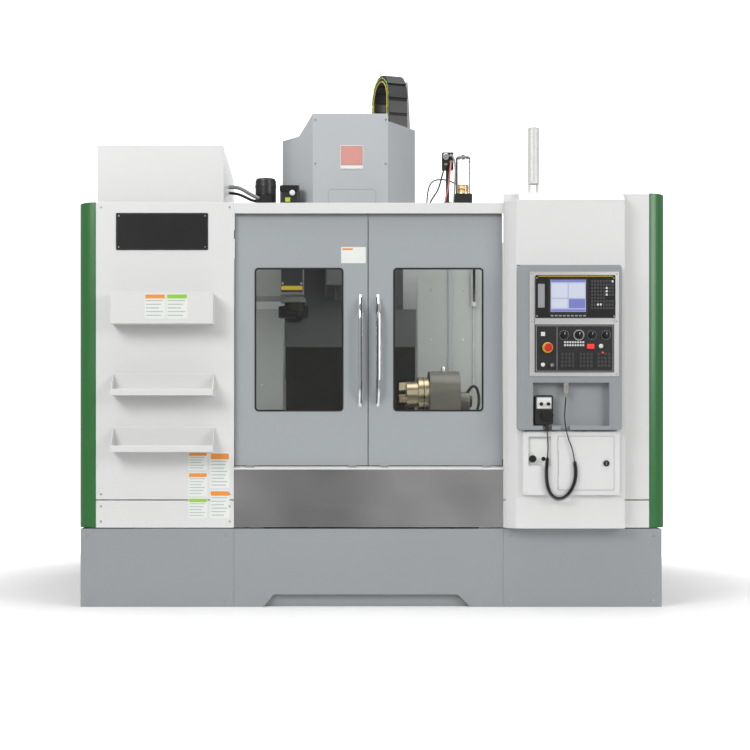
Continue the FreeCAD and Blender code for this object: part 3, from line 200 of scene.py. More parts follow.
def make_drawn_lines():
    group, entry, leave = new_group(
        "Drawn lines",
        [("Stretch", VECTOR, (2.0, 2.0, 300.0)), ("Roughness", FLOAT, 0.3)],
        [("Height", FLOAT), ("Rough", FLOAT)],
    )
    drawn = node_in(
        group, "ShaderNodeVectorMath", {0: object_place(group), 1: entry.outputs["Stretch"]},
        operation="MULTIPLY",
    )
    inputs = {"Scale": 1.0, "Detail": 3.0, "Vector": drawn.outputs[0]}
    height = node_in(group, "ShaderNodeTexNoise", inputs).outputs[0]
    rough = wander(group, height, LINE_SPREAD, entry.outputs["Roughness"])
    feed(group, leave, {"Height": height, "Rough": rough})
    return group


drawn_lines = make_drawn_lines()
print("group", drawn_lines.name)

# %% [markdown]
# ## Finishes
# Machine enamel is a textured spray coat: mostly diffuse, with a broad soft gloss. The stainless
# sheets are real metal, and what makes them look right is the slight waviness of thin sheet, so the
# bump there is slow and wide; slow pale and dark patches in their colour are a painted reflection.
# Plastics get a fine moulded grain.

# %% Paints, metals and plastics
PAINT_GRAIN_DEPTH, FINE_GRAIN_DEPTH = 0.0004, 0.0002
PLASTIC_SHADE = 0.8


def plain_material(name):
    material = bpy.data.materials.new(name)
    material.use_nodes = True
    tree = material.node_tree
    return material, tree, tree.nodes["Principled BSDF"]


def place_group(tree, group, **values):
    """A node group in a material; a blank in an input's name is written as an underscore."""
    inputs = {label.replace("_", " "): value for label, value in values.items()}
    return node_in(tree, "ShaderNodeGroup", inputs, node_tree=group).outputs


def add_bump(tree, shader, height, strength, distance):
    inputs = {"Strength": strength, "Distance": distance, "Height": height}
    feed(tree, shader, {"Normal": node_in(tree, "ShaderNodeBump", inputs).outputs[0]})


def enamel(name, paint, shade, rough=0.42, grain=380.0, depth=0.35, coat=0.15, low_dark=0.2):
    material, tree, shader = plain_material(name)
    # How much darker the sheet turns towards the bottom is set for each finish.
    tone = place_group(
        tree, sheet_tone, Paint=(*paint, 1), Shade=(*shade, 1), Patch_scale=1.3, Floor_dust=low_dark,
    )
    skin = place_group(tree, spray_grain, Grain_scale=grain, Roughness=rough, Spread=0.14)
    feed(tree, shader, {"Base Color": tone["Colour"], "Roughness": skin["Rough"]})
    feed(tree, shader, {"Coat Weight": coat, "Coat Roughness": 0.25})
    add_bump(tree, shader, skin["Height"], depth, PAINT_GRAIN_DEPTH)
    return material


def metal(name, colour, rough, stretch, depth=0.15):
    material, tree, shader = plain_material(name)
    lines = place_group(tree, drawn_lines, Stretch=stretch, Roughness=rough)
    feed(tree, shader, {"Base Color": (*colour, 1), "Metallic": 1.0, "Roughness": lines["Rough"]})
    add_bump(tree, shader, lines["Height"], depth, FINE_GRAIN_DEPTH)
    return material


def plastic(name, colour, rough=0.45, grain=900.0, depth=0.25, coat=0.0):
    material, tree, shader = plain_material(name)
    skin = place_group(tree, spray_grain, Grain_scale=grain, Roughness=rough, Spread=0.1)
    shade = (*(PLASTIC_SHADE * c for c in colour), 1)
    tone = place_group(tree, sheet_tone, Paint=(*colour, 1), Shade=shade, Patch_scale=9.0, Floor_dust=0.0)
    feed(tree, shader, {"Base Color": tone["Colour"], "Roughness": skin["Rough"], "Coat Weight": coat})
    add_bump(tree, shader, skin["Height"], depth, FINE_GRAIN_DEPTH)
    return material


white_enamel = enamel("white_enamel", (0.72, 0.72, 0.715), (0.64, 0.64, 0.63))
door_enamel = enamel("door_enamel", (0.355, 0.378, 0.392), (0.31, 0.33, 0.345), rough=0.45, low_dark=0.0)
cover_enamel = enamel("cover_enamel", (0.46, 0.48, 0.50), (0.40, 0.42, 0.44), rough=0.45, low_dark=0.0)
skirt_enamel = enamel("skirt_enamel", (0.30, 0.32, 0.335), (0.26, 0.27, 0.275), rough=0.5, low_dark=0.5)
green_enamel = enamel(
    "green_enamel", (0.024, 0.155, 0.034), (0.018, 0.12, 0.026), rough=0.33, coat=0.3, low_dark=0.0,
)
fascia_enamel = enamel("fascia_enamel", (0.29, 0.305, 0.315), (0.25, 0.265, 0.275), rough=0.5, low_dark=0.0)
casting_enamel = enamel(
    "casting_enamel", (0.10, 0.10, 0.095), (0.075, 0.076, 0.073), rough=0.5, grain=120.0, depth=0.6,
)
guard_enamel = enamel("guard_enamel", (0.52, 0.53, 0.50), (0.46, 0.46, 0.43), rough=0.4, low_dark=0.0)
shutter_enamel = enamel("shutter_enamel", (0.27, 0.27, 0.25), (0.22, 0.22, 0.20), rough=0.4, low_dark=0.0)
beige_enamel = enamel("beige_enamel", (0.13, 0.12, 0.095), (0.105, 0.097, 0.078), rough=0.4, low_dark=0.0)
way_steel = metal("way_steel", (0.026, 0.025, 0.022), 0.45, (3.0, 3.0, 260.0))
turned_steel = metal("turned_steel", (0.62, 0.6, 0.57), 0.28, (400.0, 40.0, 40.0))
ground_steel = metal("ground_steel", (0.55, 0.55, 0.56), 0.32, (4.0, 300.0, 60.0))
bezel_steel = metal("bezel_steel", (0.86, 0.85, 0.84), 0.34, (3.0, 3.0, 420.0))
handle_chrome = metal("handle_chrome", (0.78, 0.79, 0.8), 0.12, (60.0, 60.0, 2.0), depth=0.03)
brass_steel = metal("brass_steel", (0.42, 0.35, 0.22), 0.3, (300.0, 30.0, 30.0))
black_plastic = plastic("black_plastic", (0.012, 0.012, 0.013))
gloss_black = plastic("gloss_black", (0.01, 0.01, 0.011), rough=0.2, coat=0.3)
key_plastic = plastic("key_plastic", (0.72, 0.72, 0.7), rough=0.4)
grey_plastic = plastic("grey_plastic", (0.3, 0.31, 0.32))
lamp_plastic = plastic("lamp_plastic", (0.66, 0.66, 0.63), rough=0.3, coat=0.3)
red_plastic = plastic("red_plastic", (0.62, 0.015, 0.012), rough=0.25, coat=0.4)
yellow_plastic = plastic("yellow_plastic", (0.8, 0.56, 0.02), rough=0.35)
green_plastic = plastic("green_plastic", (0.3, 0.62, 0.05), rough=0.35)
orange_print = plastic("orange_print", (0.85, 0.3, 0.05), rough=0.5)
pale_print = plastic("pale_print", (0.8, 0.82, 0.78), rough=0.5)
line_print = plastic("line_print", (0.45, 0.5, 0.5), rough=0.5)
cord_rubber = plastic("cord_rubber", (0.005, 0.005, 0.005), rough=0.6, grain=1500.0)
lime_plastic = plastic("lime_plastic", (0.45, 0.62, 0.05), rough=0.35)
chain_core = plastic("chain_core", (0.003, 0.003, 0.003), rough=0.6)
badge_red = plastic("badge_red", (0.66, 0.30, 0.26), rough=0.4)
dark_key = plastic("dark_key", (0.05, 0.05, 0.053), rough=0.4)
hose_red = plastic("hose_red", (0.7, 0.2, 0.16), rough=0.35)
motor_paint = enamel("motor_paint", (0.012, 0.012, 0.013), (0.02, 0.02, 0.02), rough=0.38, low_dark=0.0)
print(len(bpy.data.materials), "finishes so far")


# %% Wavy stainless, glass, oil, lamp and display
REFLECTION_DARK, REFLECTION_PALE = 0.27, 0.62
SHEET_WAVE_DEPTH = 0.012


def wavy_stainless():
    material, tree, shader = plain_material("wavy_stainless")
    # Slow pale and dark patches in the metal's base colour: a painted reflection of the surroundings.
    shade = range_in(tree, noise_in(tree, 1.1), 0.36, 0.64, REFLECTION_DARK, REFLECTION_PALE)
    lines = place_group(tree, drawn_lines, Stretch=(3.0, 3.0, 500.0), Roughness=0.2)
    feed(tree, shader, {"Base Color": shade, "Metallic": 1.0, "Roughness": lines["Rough"]})
    add_bump(tree, shader, noise_in(tree, 3.2, 1.5), 0.8, SHEET_WAVE_DEPTH)
    return material


def clear(name, colour, rough, transmission=1.0, ior=1.45):
    material, tree, shader = plain_material(name)
    skin = place_group(tree, spray_grain, Grain_scale=3.0, Roughness=rough, Spread=0.02)
    feed(tree, shader, {"Base Color": (*colour, 1), "Transmission Weight": transmission})
    feed(tree, shader, {"IOR": ior, "Roughness": skin["Rough"]})
    return material


def glowing(name, colour, strength):
    material, tree, shader = plain_material(name)
    rough = range_in(tree, noise_in(tree, 8.0), 0.0, 1.0, 0.4, 0.5)
    feed(tree, shader, {"Base Color": (*colour, 1), "Roughness": rough})
    feed(tree, shader, {"Emission Color": (*colour, 1), "Emission Strength": strength})
    return material


stainless = wavy_stainless()
window_glass = clear("window_glass", (0.9, 0.93, 0.93), 0.03, ior=1.2)
cup_plastic = clear("cup_plastic", (0.92, 0.92, 0.9), 0.08)
amber_oil = clear("amber_oil", (0.75, 0.38, 0.1), 0.05, 0.7)
red_glow = glowing("red_glow", (0.8, 0.03, 0.02), 0.6)
screen_glow = glowing("screen_glow", (0.34, 0.36, 0.50), 0.3)
screen_pale = glowing("screen_pale", (0.44, 0.46, 0.56), 0.38)
screen_dark = glowing("screen_dark", (0.14, 0.16, 0.42), 0.25)


# %% [markdown]
# ## Rounded copies of the CAD pieces
# CAD edges are perfectly sharp, and real sheet metal and castings are not: a folded panel has an
# edge radius of a few millimetres, which is what catches the light. For each CAD piece we merge the
# triangles, dissolve the flat ones into whole faces, and bevel the edges that turn sharply. A curved
# surface keeps its shape and is shaded smooth. The copy then stands for its CAD piece.

# %% Helper: finish a mesh and place it on a body
SMOOTH_BELOW, BEVEL_ABOVE, FLAT_BELOW = 35, 40, 0.8
WELD_GAP = 0.00004


def finish_piece(piece, material, body):
    """Give a mesh object its material, smooth shading and body."""
    piece.data.materials.clear()
    piece.data.materials.append(material)
    piece.data.polygons.foreach_set("use_smooth", [True] * len(piece.data.polygons))
    piece.data.set_sharp_from_angle(angle=math.radians(SMOOTH_BELOW))
    even = piece.modifiers.new("Even shading", "WEIGHTED_NORMAL")
    even.keep_sharp = True
    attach(piece, body)
    return piece


def object_from_bmesh(work, name):
    mesh = bpy.data.meshes.new(name)
    work.to_mesh(mesh)
    work.free()
    piece = bpy.data.objects.new(name, mesh)
    bpy.context.scene.collection.objects.link(piece)
    return piece


def soft_copy(node, width, material):
    """A copy of a CAD node with rounded edges, standing for it."""
    work = bmesh.new()
    work.from_mesh(nodes[node].data)
    bmesh.ops.remove_doubles(work, verts=work.verts, dist=WELD_GAP)
    bmesh.ops.dissolve_limit(work, angle_limit=math.radians(FLAT_BELOW), verts=work.verts, edges=work.edges)
    if width:
        sharp = [
            e for e in work.edges if e.is_manifold and e.calc_face_angle(0.0) > math.radians(BEVEL_ABOVE)
        ]
        bmesh.ops.bevel(
            work, geom=sharp, offset=width, segments=2, profile=0.5, affect="EDGES", clamp_overlap=True,
        )
    bmesh.ops.triangulate(work, faces=[f for f in work.faces if len(f.verts) > 4])
    piece = object_from_bmesh(work, "soft_" + node)
    finish_piece(piece, material, body_of_node[node])
    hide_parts(node)
    return piece


# %% Rounded copies: node, edge radius in metres and finish
softened = {
    "bed": (0.004, casting_enamel), "column": (0.006, casting_enamel), "saddle": (0.003, casting_enamel),
    "table": (0.0015, ground_steel), "rotary_table": (0.006, beige_enamel),
    "rotary_chuck": (0.0015, brass_steel), "spindle_head": (0.003, casting_enamel),
    "spindle": (0.0008, turned_steel), "tool_changer_gearbox": (0.003, shutter_enamel),
    "tool_changer_motors": (0.002, motor_paint), "arm_shaft": (0.0, way_steel),
    "change_arm": (0.0015, way_steel), "tool_carousel": (0.001, motor_paint),
    "way_cover_upper": (0.001, way_steel), "way_cover_lower": (0.001, way_steel),
    "base_covers": (0.005, skirt_enamel), "corner_posts": (0.002, green_enamel),
    "front_panels": (0.004, white_enamel), "console": (0.005, white_enamel),
    "side_panels": (0.003, white_enamel), "door_frame": (0.002, white_enamel),
    "stainless_apron": (0.002, stainless), "tool_shelves": (0.0007, white_enamel),
    "magazine_hood": (0.004, white_enamel), "inner_walls": (0.0008, guard_enamel),
    "coolant_tank": (0.003, white_enamel), "head_cover": (0.003, cover_enamel),
    "drag_chain": (0.001, chain_core), "oil_reservoir": (0.002, cup_plastic),
    "lubricator": (0.0015, black_plastic), "signal_tower": (0.001, lamp_plastic),
    "work_light": (0.001, lamp_plastic), "console_fascia": (0.003, fascia_enamel),
    "screen_unit": (0.0015, gloss_black), "operator_panel": (0.001, black_plastic),
    "handwheel_pendant": (0.009, black_plastic), "pendant_plug": (0.0006, turned_steel),
    "service_box": (0.003, white_enamel), "left_door": (0.003, door_enamel),
    "right_door": (0.003, door_enamel), "left_window": (0.001, window_glass),
    "right_window": (0.001, window_glass), "left_door_handle": (0.0, handle_chrome),
    "right_door_handle": (0.0, handle_chrome), "emergency_stop": (0.002, red_plastic),
    "mode_knob": (0.001, gloss_black), "feed_knob": (0.001, gloss_black),
    "rapid_knob": (0.001, gloss_black), "spindle_knob": (0.001, gloss_black),
    "key_switch": (0.0006, turned_steel), "hold_button": (0.0012, key_plastic),
    "start_button": (0.0012, key_plastic), "pendant_dial": (0.001, gloss_black),
    "pendant_axis_knob": (0.0006, gloss_black), "pendant_rate_knob": (0.0006, gloss_black),
    "service_box_door": (0.002, white_enamel), "service_box_latch": (0.0008, black_plastic),
}
soft = {}
for node_name, (edge, finish) in softened.items():
    soft[node_name] = soft_copy(node_name, edge, finish)
print(len(soft), "rounded pieces,", sum(len(p.data.polygons) for p in soft.values()), "faces")

# %% [markdown]
# ## The pendant's curly cord
# The cord leaves a plug under the fascia, hangs in a loose U beside the service box and comes up into
# the foot of the pendant. It is one open spline: a smooth lead, then a helix wound round the hanging
# line, then a smooth lead again. The helix is worked out by walking along a guide curve through the
# U, so the winding stays even and follows the bend.

# %% Guide line of the curl, and the helix wound round it
CORD_Y = -1.190
LEAD_IN = [
    (0.957, 1.056), (0.953, 1.010), (0.950, 0.962), (0.955, 0.905), (0.968, 0.850), (0.990, 0.797),
    (0.999, 0.739),
]
CURL = [
    (0.999, 0.739), (1.005, 0.706), (1.006, 0.672), (1.002, 0.638), (0.990, 0.604), (0.970, 0.573),
    (0.944, 0.552), (0.914, 0.548), (0.888, 0.563), (0.871, 0.592), (0.863, 0.626), (0.860, 0.662),
    (0.860, 0.698), (0.864, 0.734), (0.865, 0.759),
]
LEAD_OUT = [(0.865, 0.759), (0.868, 0.800), (0.867, 0.843), (0.864, 0.884)]
CORD_RADIUS = 0.0028
HELIX_RADIUS = 0.0074
TURNS = 58
STEPS_PER_TURN = 12


def nurbs_curve(name, points, radius):
    data = bpy.data.curves.new(name, "CURVE")
    data.dimensions = "3D"
    spline = data.splines.new("NURBS")
    spline.points.add(len(points) - 1)
    for point, place in zip(spline.points, points):
        point.co = (*place, 1)
    spline.order_u = 3
    spline.use_endpoint_u = True
    spline.resolution_u = 3
    data.bevel_depth = radius
    data.bevel_resolution = 3
    data.use_fill_caps = True
    obj = bpy.data.objects.new(name, data)
    bpy.context.scene.collection.objects.link(obj)
    return obj


def line_of(points, resolution=24):
    """Points along the smooth line that a spline with these control points gives."""
    guide = nurbs_curve("guide", points, 0.0)
    guide.data.splines[0].resolution_u = resolution
    mesh = bpy.data.meshes.new_from_object(guide)
    line = [v.co.copy() for v in mesh.vertices]
    bpy.data.objects.remove(guide)
    bpy.data.meshes.remove(mesh)
    return line


def helix_round(line, turns, radius):
    """Points of a helix round a line, opening from and closing to the line over its first and last turn."""
    lengths = [0.0]
    for a, b in zip(line, line[1:]):
        lengths.append(lengths[-1] + (b - a).length)
    total = turns * STEPS_PER_TURN
    points, seat = [], 0
    for step in range(total + 1):
        along = lengths[-1] * step / total
        while seat < len(line) - 2 and lengths[seat + 1] < along:
            seat += 1
        share = (along - lengths[seat]) / max(lengths[seat + 1] - lengths[seat], 1e-9)
        middle = line[seat].lerp(line[seat + 1], share)
        ahead = (line[seat + 1] - line[seat]).normalized()
        out = Vector((0, -1, 0))
        side = ahead.cross(out)
        turn = 2 * math.pi * step / STEPS_PER_TURN
        open_share = min(1.0, step / STEPS_PER_TURN, (total - step) / STEPS_PER_TURN)
        points.append(middle + radius * open_share * (math.cos(turn) * out + math.sin(turn) * side))
    return points


def flat_route(pairs):
    return [Vector((x, CORD_Y, z)) for x, z in pairs]


winding = helix_round(line_of(flat_route(CURL)), TURNS, HELIX_RADIUS)
print(len(winding), "points wound")

# %% The cord itself
cord_points = flat_route(LEAD_IN)[:-1] + winding + flat_route(LEAD_OUT)[1:]
pendant_cord = nurbs_curve("pendant_cord", cord_points, CORD_RADIUS)
pendant_cord.data.materials.append(cord_rubber)
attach(pendant_cord, "machine_frame")
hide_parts("pendant_lead_in", "pendant_curly_cord", "pendant_lead_out")
cord_line = line_of(cord_points, 4)

# %% [markdown]
# ## Things that repeat: screws, keys, ticks and links
# A machine has hundreds of small parts that are the same shape, so we let Geometry Nodes place them.
# Each tree takes named inputs for its sizes, puts one copy at every point it is given, and ends by
# making the copies real and giving them their finish. Then we turn the result into a plain mesh.

# %% Helpers for Geometry Nodes
SHARP_ABOVE = 30
UPRIGHT = (math.radians(90), 0, 0)


def new_tree(name, inputs):
    """A tree with its named inputs and a finish; gives the tree, its input node and its output node."""
    tree = bpy.data.node_groups.new(name, "GeometryNodeTree")
    tree.interface.new_socket("Geometry", in_out="INPUT", socket_type="NodeSocketGeometry")
    for label, kind, value in inputs:
        tree.interface.new_socket(label, in_out="INPUT", socket_type=kind).default_value = value
    tree.interface.new_socket("Finish", in_out="INPUT", socket_type="NodeSocketMaterial")
    tree.interface.new_socket("Geometry", in_out="OUTPUT", socket_type="NodeSocketGeometry")
    return tree, tree.nodes.new("NodeGroupInput"), tree.nodes.new("NodeGroupOutput")


def end_tree(tree, entry, leave, geometry):
    """Realize the copies, give them the finish and close the tree."""
    real = node_in(tree, "GeometryNodeRealizeInstances", {0: geometry}).outputs[0]
    paint = node_in(tree, "GeometryNodeSetMaterial", {"Geometry": real, "Material": entry.outputs["Finish"]})
    tree.links.new(paint.outputs[0], leave.inputs[0])


def grow(name, points, tree, finish, values, body="machine_frame"):
    """Run a tree on loose points, or on a mesh, and keep the result as a plain mesh on a body."""
    seed = points
    if isinstance(points, list):
        seed = bpy.data.meshes.new(name + "_points")
        seed.from_pydata([tuple(p) for p in points], [], [])
    carrier = bpy.data.objects.new(name + "_carrier", seed)
    bpy.context.scene.collection.objects.link(carrier)
    modifier = carrier.modifiers.new("Grow", "NODES")
    modifier.node_group = tree
    for item in tree.interface.items_tree:
        if item.in_out == "INPUT" and item.name == "Finish":
            modifier[item.identifier] = finish
        elif item.in_out == "INPUT" and item.name in values:
            modifier[item.identifier] = values[item.name]
    bpy.context.view_layer.update()
    grown = carrier.evaluated_get(bpy.context.evaluated_depsgraph_get())
    mesh = bpy.data.meshes.new_from_object(grown)
    carrier.modifiers.remove(modifier)
    bpy.data.objects.remove(carrier)
    piece = bpy.data.objects.new(name, mesh)
    bpy.context.scene.collection.objects.link(piece)
    mesh.polygons.foreach_set("use_smooth", [True] * len(mesh.polygons))
    mesh.set_sharp_from_angle(angle=math.radians(SHARP_ABOVE))
    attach(piece, body)
    return piece


print("tree helpers ready")


# %% Tree for screw heads: a low tapered head at every point
HEAD_SIDES, HEAD_TAPER = 14, 0.72


def make_screw_tree():
    tree, entry, leave = new_tree(
        "Screw heads",
        [("Head radius", FLOAT, 0.004), ("Head height", FLOAT, 0.002), ("Facing", VECTOR, UPRIGHT)],
    )
    radius = entry.outputs["Head radius"]
    head = node_in(tree, "GeometryNodeMeshCone", {
        "Vertices": HEAD_SIDES, "Radius Top": math_in(tree, "MULTIPLY", radius, HEAD_TAPER),
        "Radius Bottom": radius, "Depth": entry.outputs["Head height"],
    })
    place = node_in(tree, "GeometryNodeInstanceOnPoints", {
        "Points": entry.outputs["Geometry"], "Instance": head.outputs["Mesh"],
        "Rotation": entry.outputs["Facing"],
    })
    end_tree(tree, entry, leave, place.outputs[0])
    return tree


screw_tree = make_screw_tree()
print("tree", screw_tree.name)


# %% Tree for key caps: a four-sided tapered cap at every point
CAP_TOP, CAP_BOTTOM = 0.6, 0.7071


def make_key_tree():
    tree, entry, leave = new_tree(
        "Key caps", [("Cap size", VECTOR, (0.01, 0.01, 0.003)), ("Facing", VECTOR, UPRIGHT)],
    )
    cap = node_in(tree, "GeometryNodeMeshCone", {
        "Vertices": 4, "Radius Top": CAP_TOP, "Radius Bottom": CAP_BOTTOM, "Depth": 1.0,
    })
    square = node_in(tree, "GeometryNodeTransform", {
        "Geometry": cap.outputs["Mesh"], "Rotation": (0, 0, math.radians(45)),
    })
    place = node_in(tree, "GeometryNodeInstanceOnPoints", {
        "Points": entry.outputs["Geometry"], "Instance": square.outputs[0],
        "Rotation": entry.outputs["Facing"], "Scale": entry.outputs["Cap size"],
    })
    end_tree(tree, entry, leave, place.outputs[0])
    return tree


key_tree = make_key_tree()
print("tree", key_tree.name)


# %% Tree for dial ticks: thin bars standing round a circle that faces forward
def make_tick_tree():
    tree, entry, leave = new_tree("Dial ticks", [
        ("Ring radius", FLOAT, 0.02), ("Count", "NodeSocketInt", 24),
        ("Tick size", VECTOR, (0.004, 0.0008, 0.0005)), ("Centre", VECTOR, (0, 0, 0)),
    ])
    count, radius = entry.outputs["Count"], entry.outputs["Ring radius"]
    ring = node_in(tree, "GeometryNodeMeshCircle", {"Vertices": count, "Radius": radius})
    index = tree.nodes.new("GeometryNodeInputIndex").outputs[0]
    angle = math_in(tree, "MULTIPLY", math_in(tree, "DIVIDE", index, count), 2 * math.pi)
    turn = node_in(tree, "ShaderNodeCombineXYZ", {"Z": angle})
    bar = node_in(tree, "GeometryNodeMeshCube", {"Size": entry.outputs["Tick size"]})
    place = node_in(tree, "GeometryNodeInstanceOnPoints", {
        "Points": ring.outputs[0], "Instance": bar.outputs["Mesh"], "Rotation": turn.outputs[0],
    })
    stand = node_in(tree, "GeometryNodeTransform", {
        "Geometry": place.outputs[0], "Rotation": UPRIGHT, "Translation": entry.outputs["Centre"],
    })
    end_tree(tree, entry, leave, stand.outputs[0])
    return tree


tick_tree = make_tick_tree()
print("tree", tick_tree.name)


# %% [markdown]
# ## Plates, frames and tubes
# Name plates, labels, gaskets and screen fields are all flat plates with round corners, facing
# forward. One helper makes them: it lays out the outline, gives it thickness and eases the edges.
# A frame is the same with a hole. Hoses and thin cables follow a smooth curve.

# %% Helpers for plates, frames and tubes
def round_outline(left, right, low, high, radius, steps=6):
    corners = [(right - radius, high - radius, 0), (left + radius, high - radius, 90),
               (left + radius, low + radius, 180), (right - radius, low + radius, 270)]
    outline = []
    for x, z, start in corners:
        for step in range(steps + 1):
            angle = math.radians(start + 90 * step / steps)
            outline.append((x + radius * math.cos(angle), z + radius * math.sin(angle)))
    return outline


def plate(name, span, y_front, thick, radius, material, body="machine_frame", ease=0.0004):
    """A plate facing forward; span is (left, right, low, high) in metres."""
    work = bmesh.new()
    back = [work.verts.new((x, y_front + thick, z)) for x, z in round_outline(*span, radius)]
    face = work.faces.new(back)
    grown = bmesh.ops.extrude_face_region(work, geom=[face])
    front = [v for v in grown["geom"] if isinstance(v, bmesh.types.BMVert)]
    bmesh.ops.translate(work, verts=front, vec=(0, -thick, 0))
    bmesh.ops.recalc_face_normals(work, faces=work.faces)
    if ease:
        rim = [e for v in front for e in v.link_edges if e.other_vert(v) in front]
        bmesh.ops.bevel(
            work, geom=list(set(rim)), offset=min(ease, thick * 0.4), segments=2, profile=0.5,
            affect="EDGES",
        )
    return finish_piece(object_from_bmesh(work, name), material, body)


def frame_ring(name, span, width, y_front, thick, radius, material, body="machine_frame"):
    """A frame facing forward: the outline of span, with a hole that leaves a border of width."""
    inner_span = (span[0] + width, span[1] - width, span[2] + width, span[3] - width)
    outer = round_outline(*span, radius)
    inner = round_outline(*inner_span, max(radius - width, 0.001))
    work = bmesh.new()
    rows = []
    for outline, y in (
        (outer, y_front + thick), (outer, y_front), (inner, y_front), (inner, y_front + thick),
    ):
        rows.append([work.verts.new((x, y, z)) for x, z in outline])
    for row, after in zip(rows, rows[1:] + rows[:1]):
        for i in range(len(row)):
            j = (i + 1) % len(row)
            work.faces.new((row[i], row[j], after[j], after[i]))
    bmesh.ops.recalc_face_normals(work, faces=work.faces)
    return finish_piece(object_from_bmesh(work, name), material, body)


def tube(name, points, radius, material, body="machine_frame"):
    """A smooth tube through space, made a mesh."""
    curve = nurbs_curve(name + "_line", [Vector(p) for p in points], radius)
    mesh = bpy.data.meshes.new_from_object(curve)
    bpy.data.objects.remove(curve)
    piece = bpy.data.objects.new(name, mesh)
    bpy.context.scene.collection.objects.link(piece)
    return finish_piece(piece, material, body)


def turned(name, profile, centre, axis, material, body="machine_frame", steps=32):
    """A turned piece: profile is (along, radius) pairs, spun about an axis through centre."""
    work = bmesh.new()
    rings = []
    for along, radius in profile:
        ring = []
        for step in range(steps):
            angle = 2 * math.pi * step / steps
            flat = (radius * math.cos(angle), radius * math.sin(angle))
            if axis == "Y":
                place = (centre[0] + flat[0], centre[1] + along, centre[2] + flat[1])
            elif axis == "Z":
                place = (centre[0] + flat[0], centre[1] + flat[1], centre[2] + along)
            else:
                place = (centre[0] + along, centre[1] + flat[0], centre[2] + flat[1])
            ring.append(work.verts.new(place))
        rings.append(ring)
    for ring, after in zip(rings, rings[1:]):
        for i in range(steps):
            j = (i + 1) % steps
            work.faces.new((ring[i], ring[j], after[j], after[i]))
    work.faces.new(rings[0])
    work.faces.new(rings[-1])
    bmesh.ops.recalc_face_normals(work, faces=work.faces)
    return finish_piece(object_from_bmesh(work, name), material, body)


print("plate, frame and tube helpers ready")

# %% [markdown]
# ## Left side: name plate and labels
# The black name plate is left bare, held by four screws. The labels are plain fields of colour: an
# orange head and a green head over pale columns with thin lines.

# %% Name plate and labels
panel_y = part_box("front_panels")[0][1]
shelf_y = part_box("tool_shelves")[0][1]
plate("name_plate", (-1.296, -0.831, 1.803, 1.990), panel_y - 0.003, 0.003, 0.006, gloss_black)
frame_ring(
    "name_plate_rim", (-1.292, -0.835, 1.807, 1.986), 0.003, panel_y - 0.0036, 0.001, 0.005, black_plastic,
)
plate_screws = [(x, panel_y - 0.0045, z) for x in (-1.281, -0.846) for z in (1.818, 1.975)]


LABEL_THICK, PRINT_THICK, PRINT_PROUD = 0.0006, 0.0003, 0.0009
HEAD_SHARE, INSET_SHARE, LINE_SHARE = 0.2, 0.03, 0.28


def label(name, span, y, head_material, rows):
    """A generic label: a pale field, a coloured head and thin pale lines in pairs."""
    left, right, low, high = span
    plate(name, span, y - LABEL_THICK, LABEL_THICK, 0.002, pale_print, ease=0)
    head = HEAD_SHARE * (high - low)
    inset = INSET_SHARE * (right - left)
    head_span = (left + inset, right - inset, high - head, high - 0.04 * (high - low))
    plate(
        name + "_head", head_span, y - PRINT_PROUD, PRINT_THICK, 0.0008, head_material,
        ease=0,
    )
    step = (high - head - low) / (rows + 0.5)
    for row in range(rows):
        top = high - head - step * (row + 0.45)
        line_span = (left + inset * 2, right - inset * (4 + 3 * (row % 3)), top - LINE_SHARE * step, top)
        plate(
            f"{name}_line_{row}", line_span, y - PRINT_PROUD, PRINT_THICK, 0.0004, line_print,
            ease=0,
        )


for name, span, y, head_material, rows in (
    ("shelf_label_left", (-1.138, -1.035, 1.447, 1.572), shelf_y, orange_print, 5),
    ("shelf_label_right", (-1.030, -0.925, 1.447, 1.572), shelf_y, green_plastic, 5),
    ("side_label_1", (-0.930, -0.835, 0.690, 0.782), panel_y, orange_print, 5),
    ("side_label_2", (-0.820, -0.722, 0.600, 0.782), panel_y, orange_print, 8),
    ("side_label_3", (-0.930, -0.835, 0.560, 0.680), panel_y, orange_print, 6),
    ("side_label_4", (-0.820, -0.722, 0.448, 0.590), panel_y, orange_print, 6),
    ("side_label_5", (-0.930, -0.835, 0.448, 0.550), panel_y, green_plastic, 5),
):
    label(name, span, y, head_material, rows)
print("left side dressed")

# %% [markdown]
# ## Doors
# Each pane sits in a black rubber gasket that lines the window hole. A bare pale sticker with one
# orange band sits near the top of the left door, by the meeting edge.

# %% Gaskets and the bare sticker
door_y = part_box("left_door")[0][1]
for side, left, right in (("left", -0.597, -0.146), ("right", 0.106, 0.564)):
    frame_ring(
        f"{side}_gasket", (left, right, 0.988, 1.717), 0.009, door_y - 0.0015, 0.003, 0.020, black_plastic,
        f"{side}_door",
    )
plate(
    "door_sticker", (-0.158, -0.033, 1.740, 1.822), door_y - LABEL_THICK, LABEL_THICK, 0.003, pale_print,
    "left_door", ease=0,
)
plate(
    "door_sticker_band", (-0.152, -0.099, 1.806, 1.816), door_y - PRINT_PROUD, PRINT_THICK, 0.001,
    orange_print, "left_door", ease=0,
)
frame_ring(
    "door_edge_strip", (-0.0235, -0.0195, 0.716, 1.992), 0.0008, door_y - 0.0008, 0.001, 0.001,
    black_plastic, "left_door",
)
print("doors dressed")

# %% [markdown]
# ## Operator's console
# The screen unit is a black frame round a pale display, with a block of membrane keys beside it and a
# row of soft keys below. Under it the key plate has a light border, key blocks, four rotary
# switches with dial rings, a lamp and a small red display.

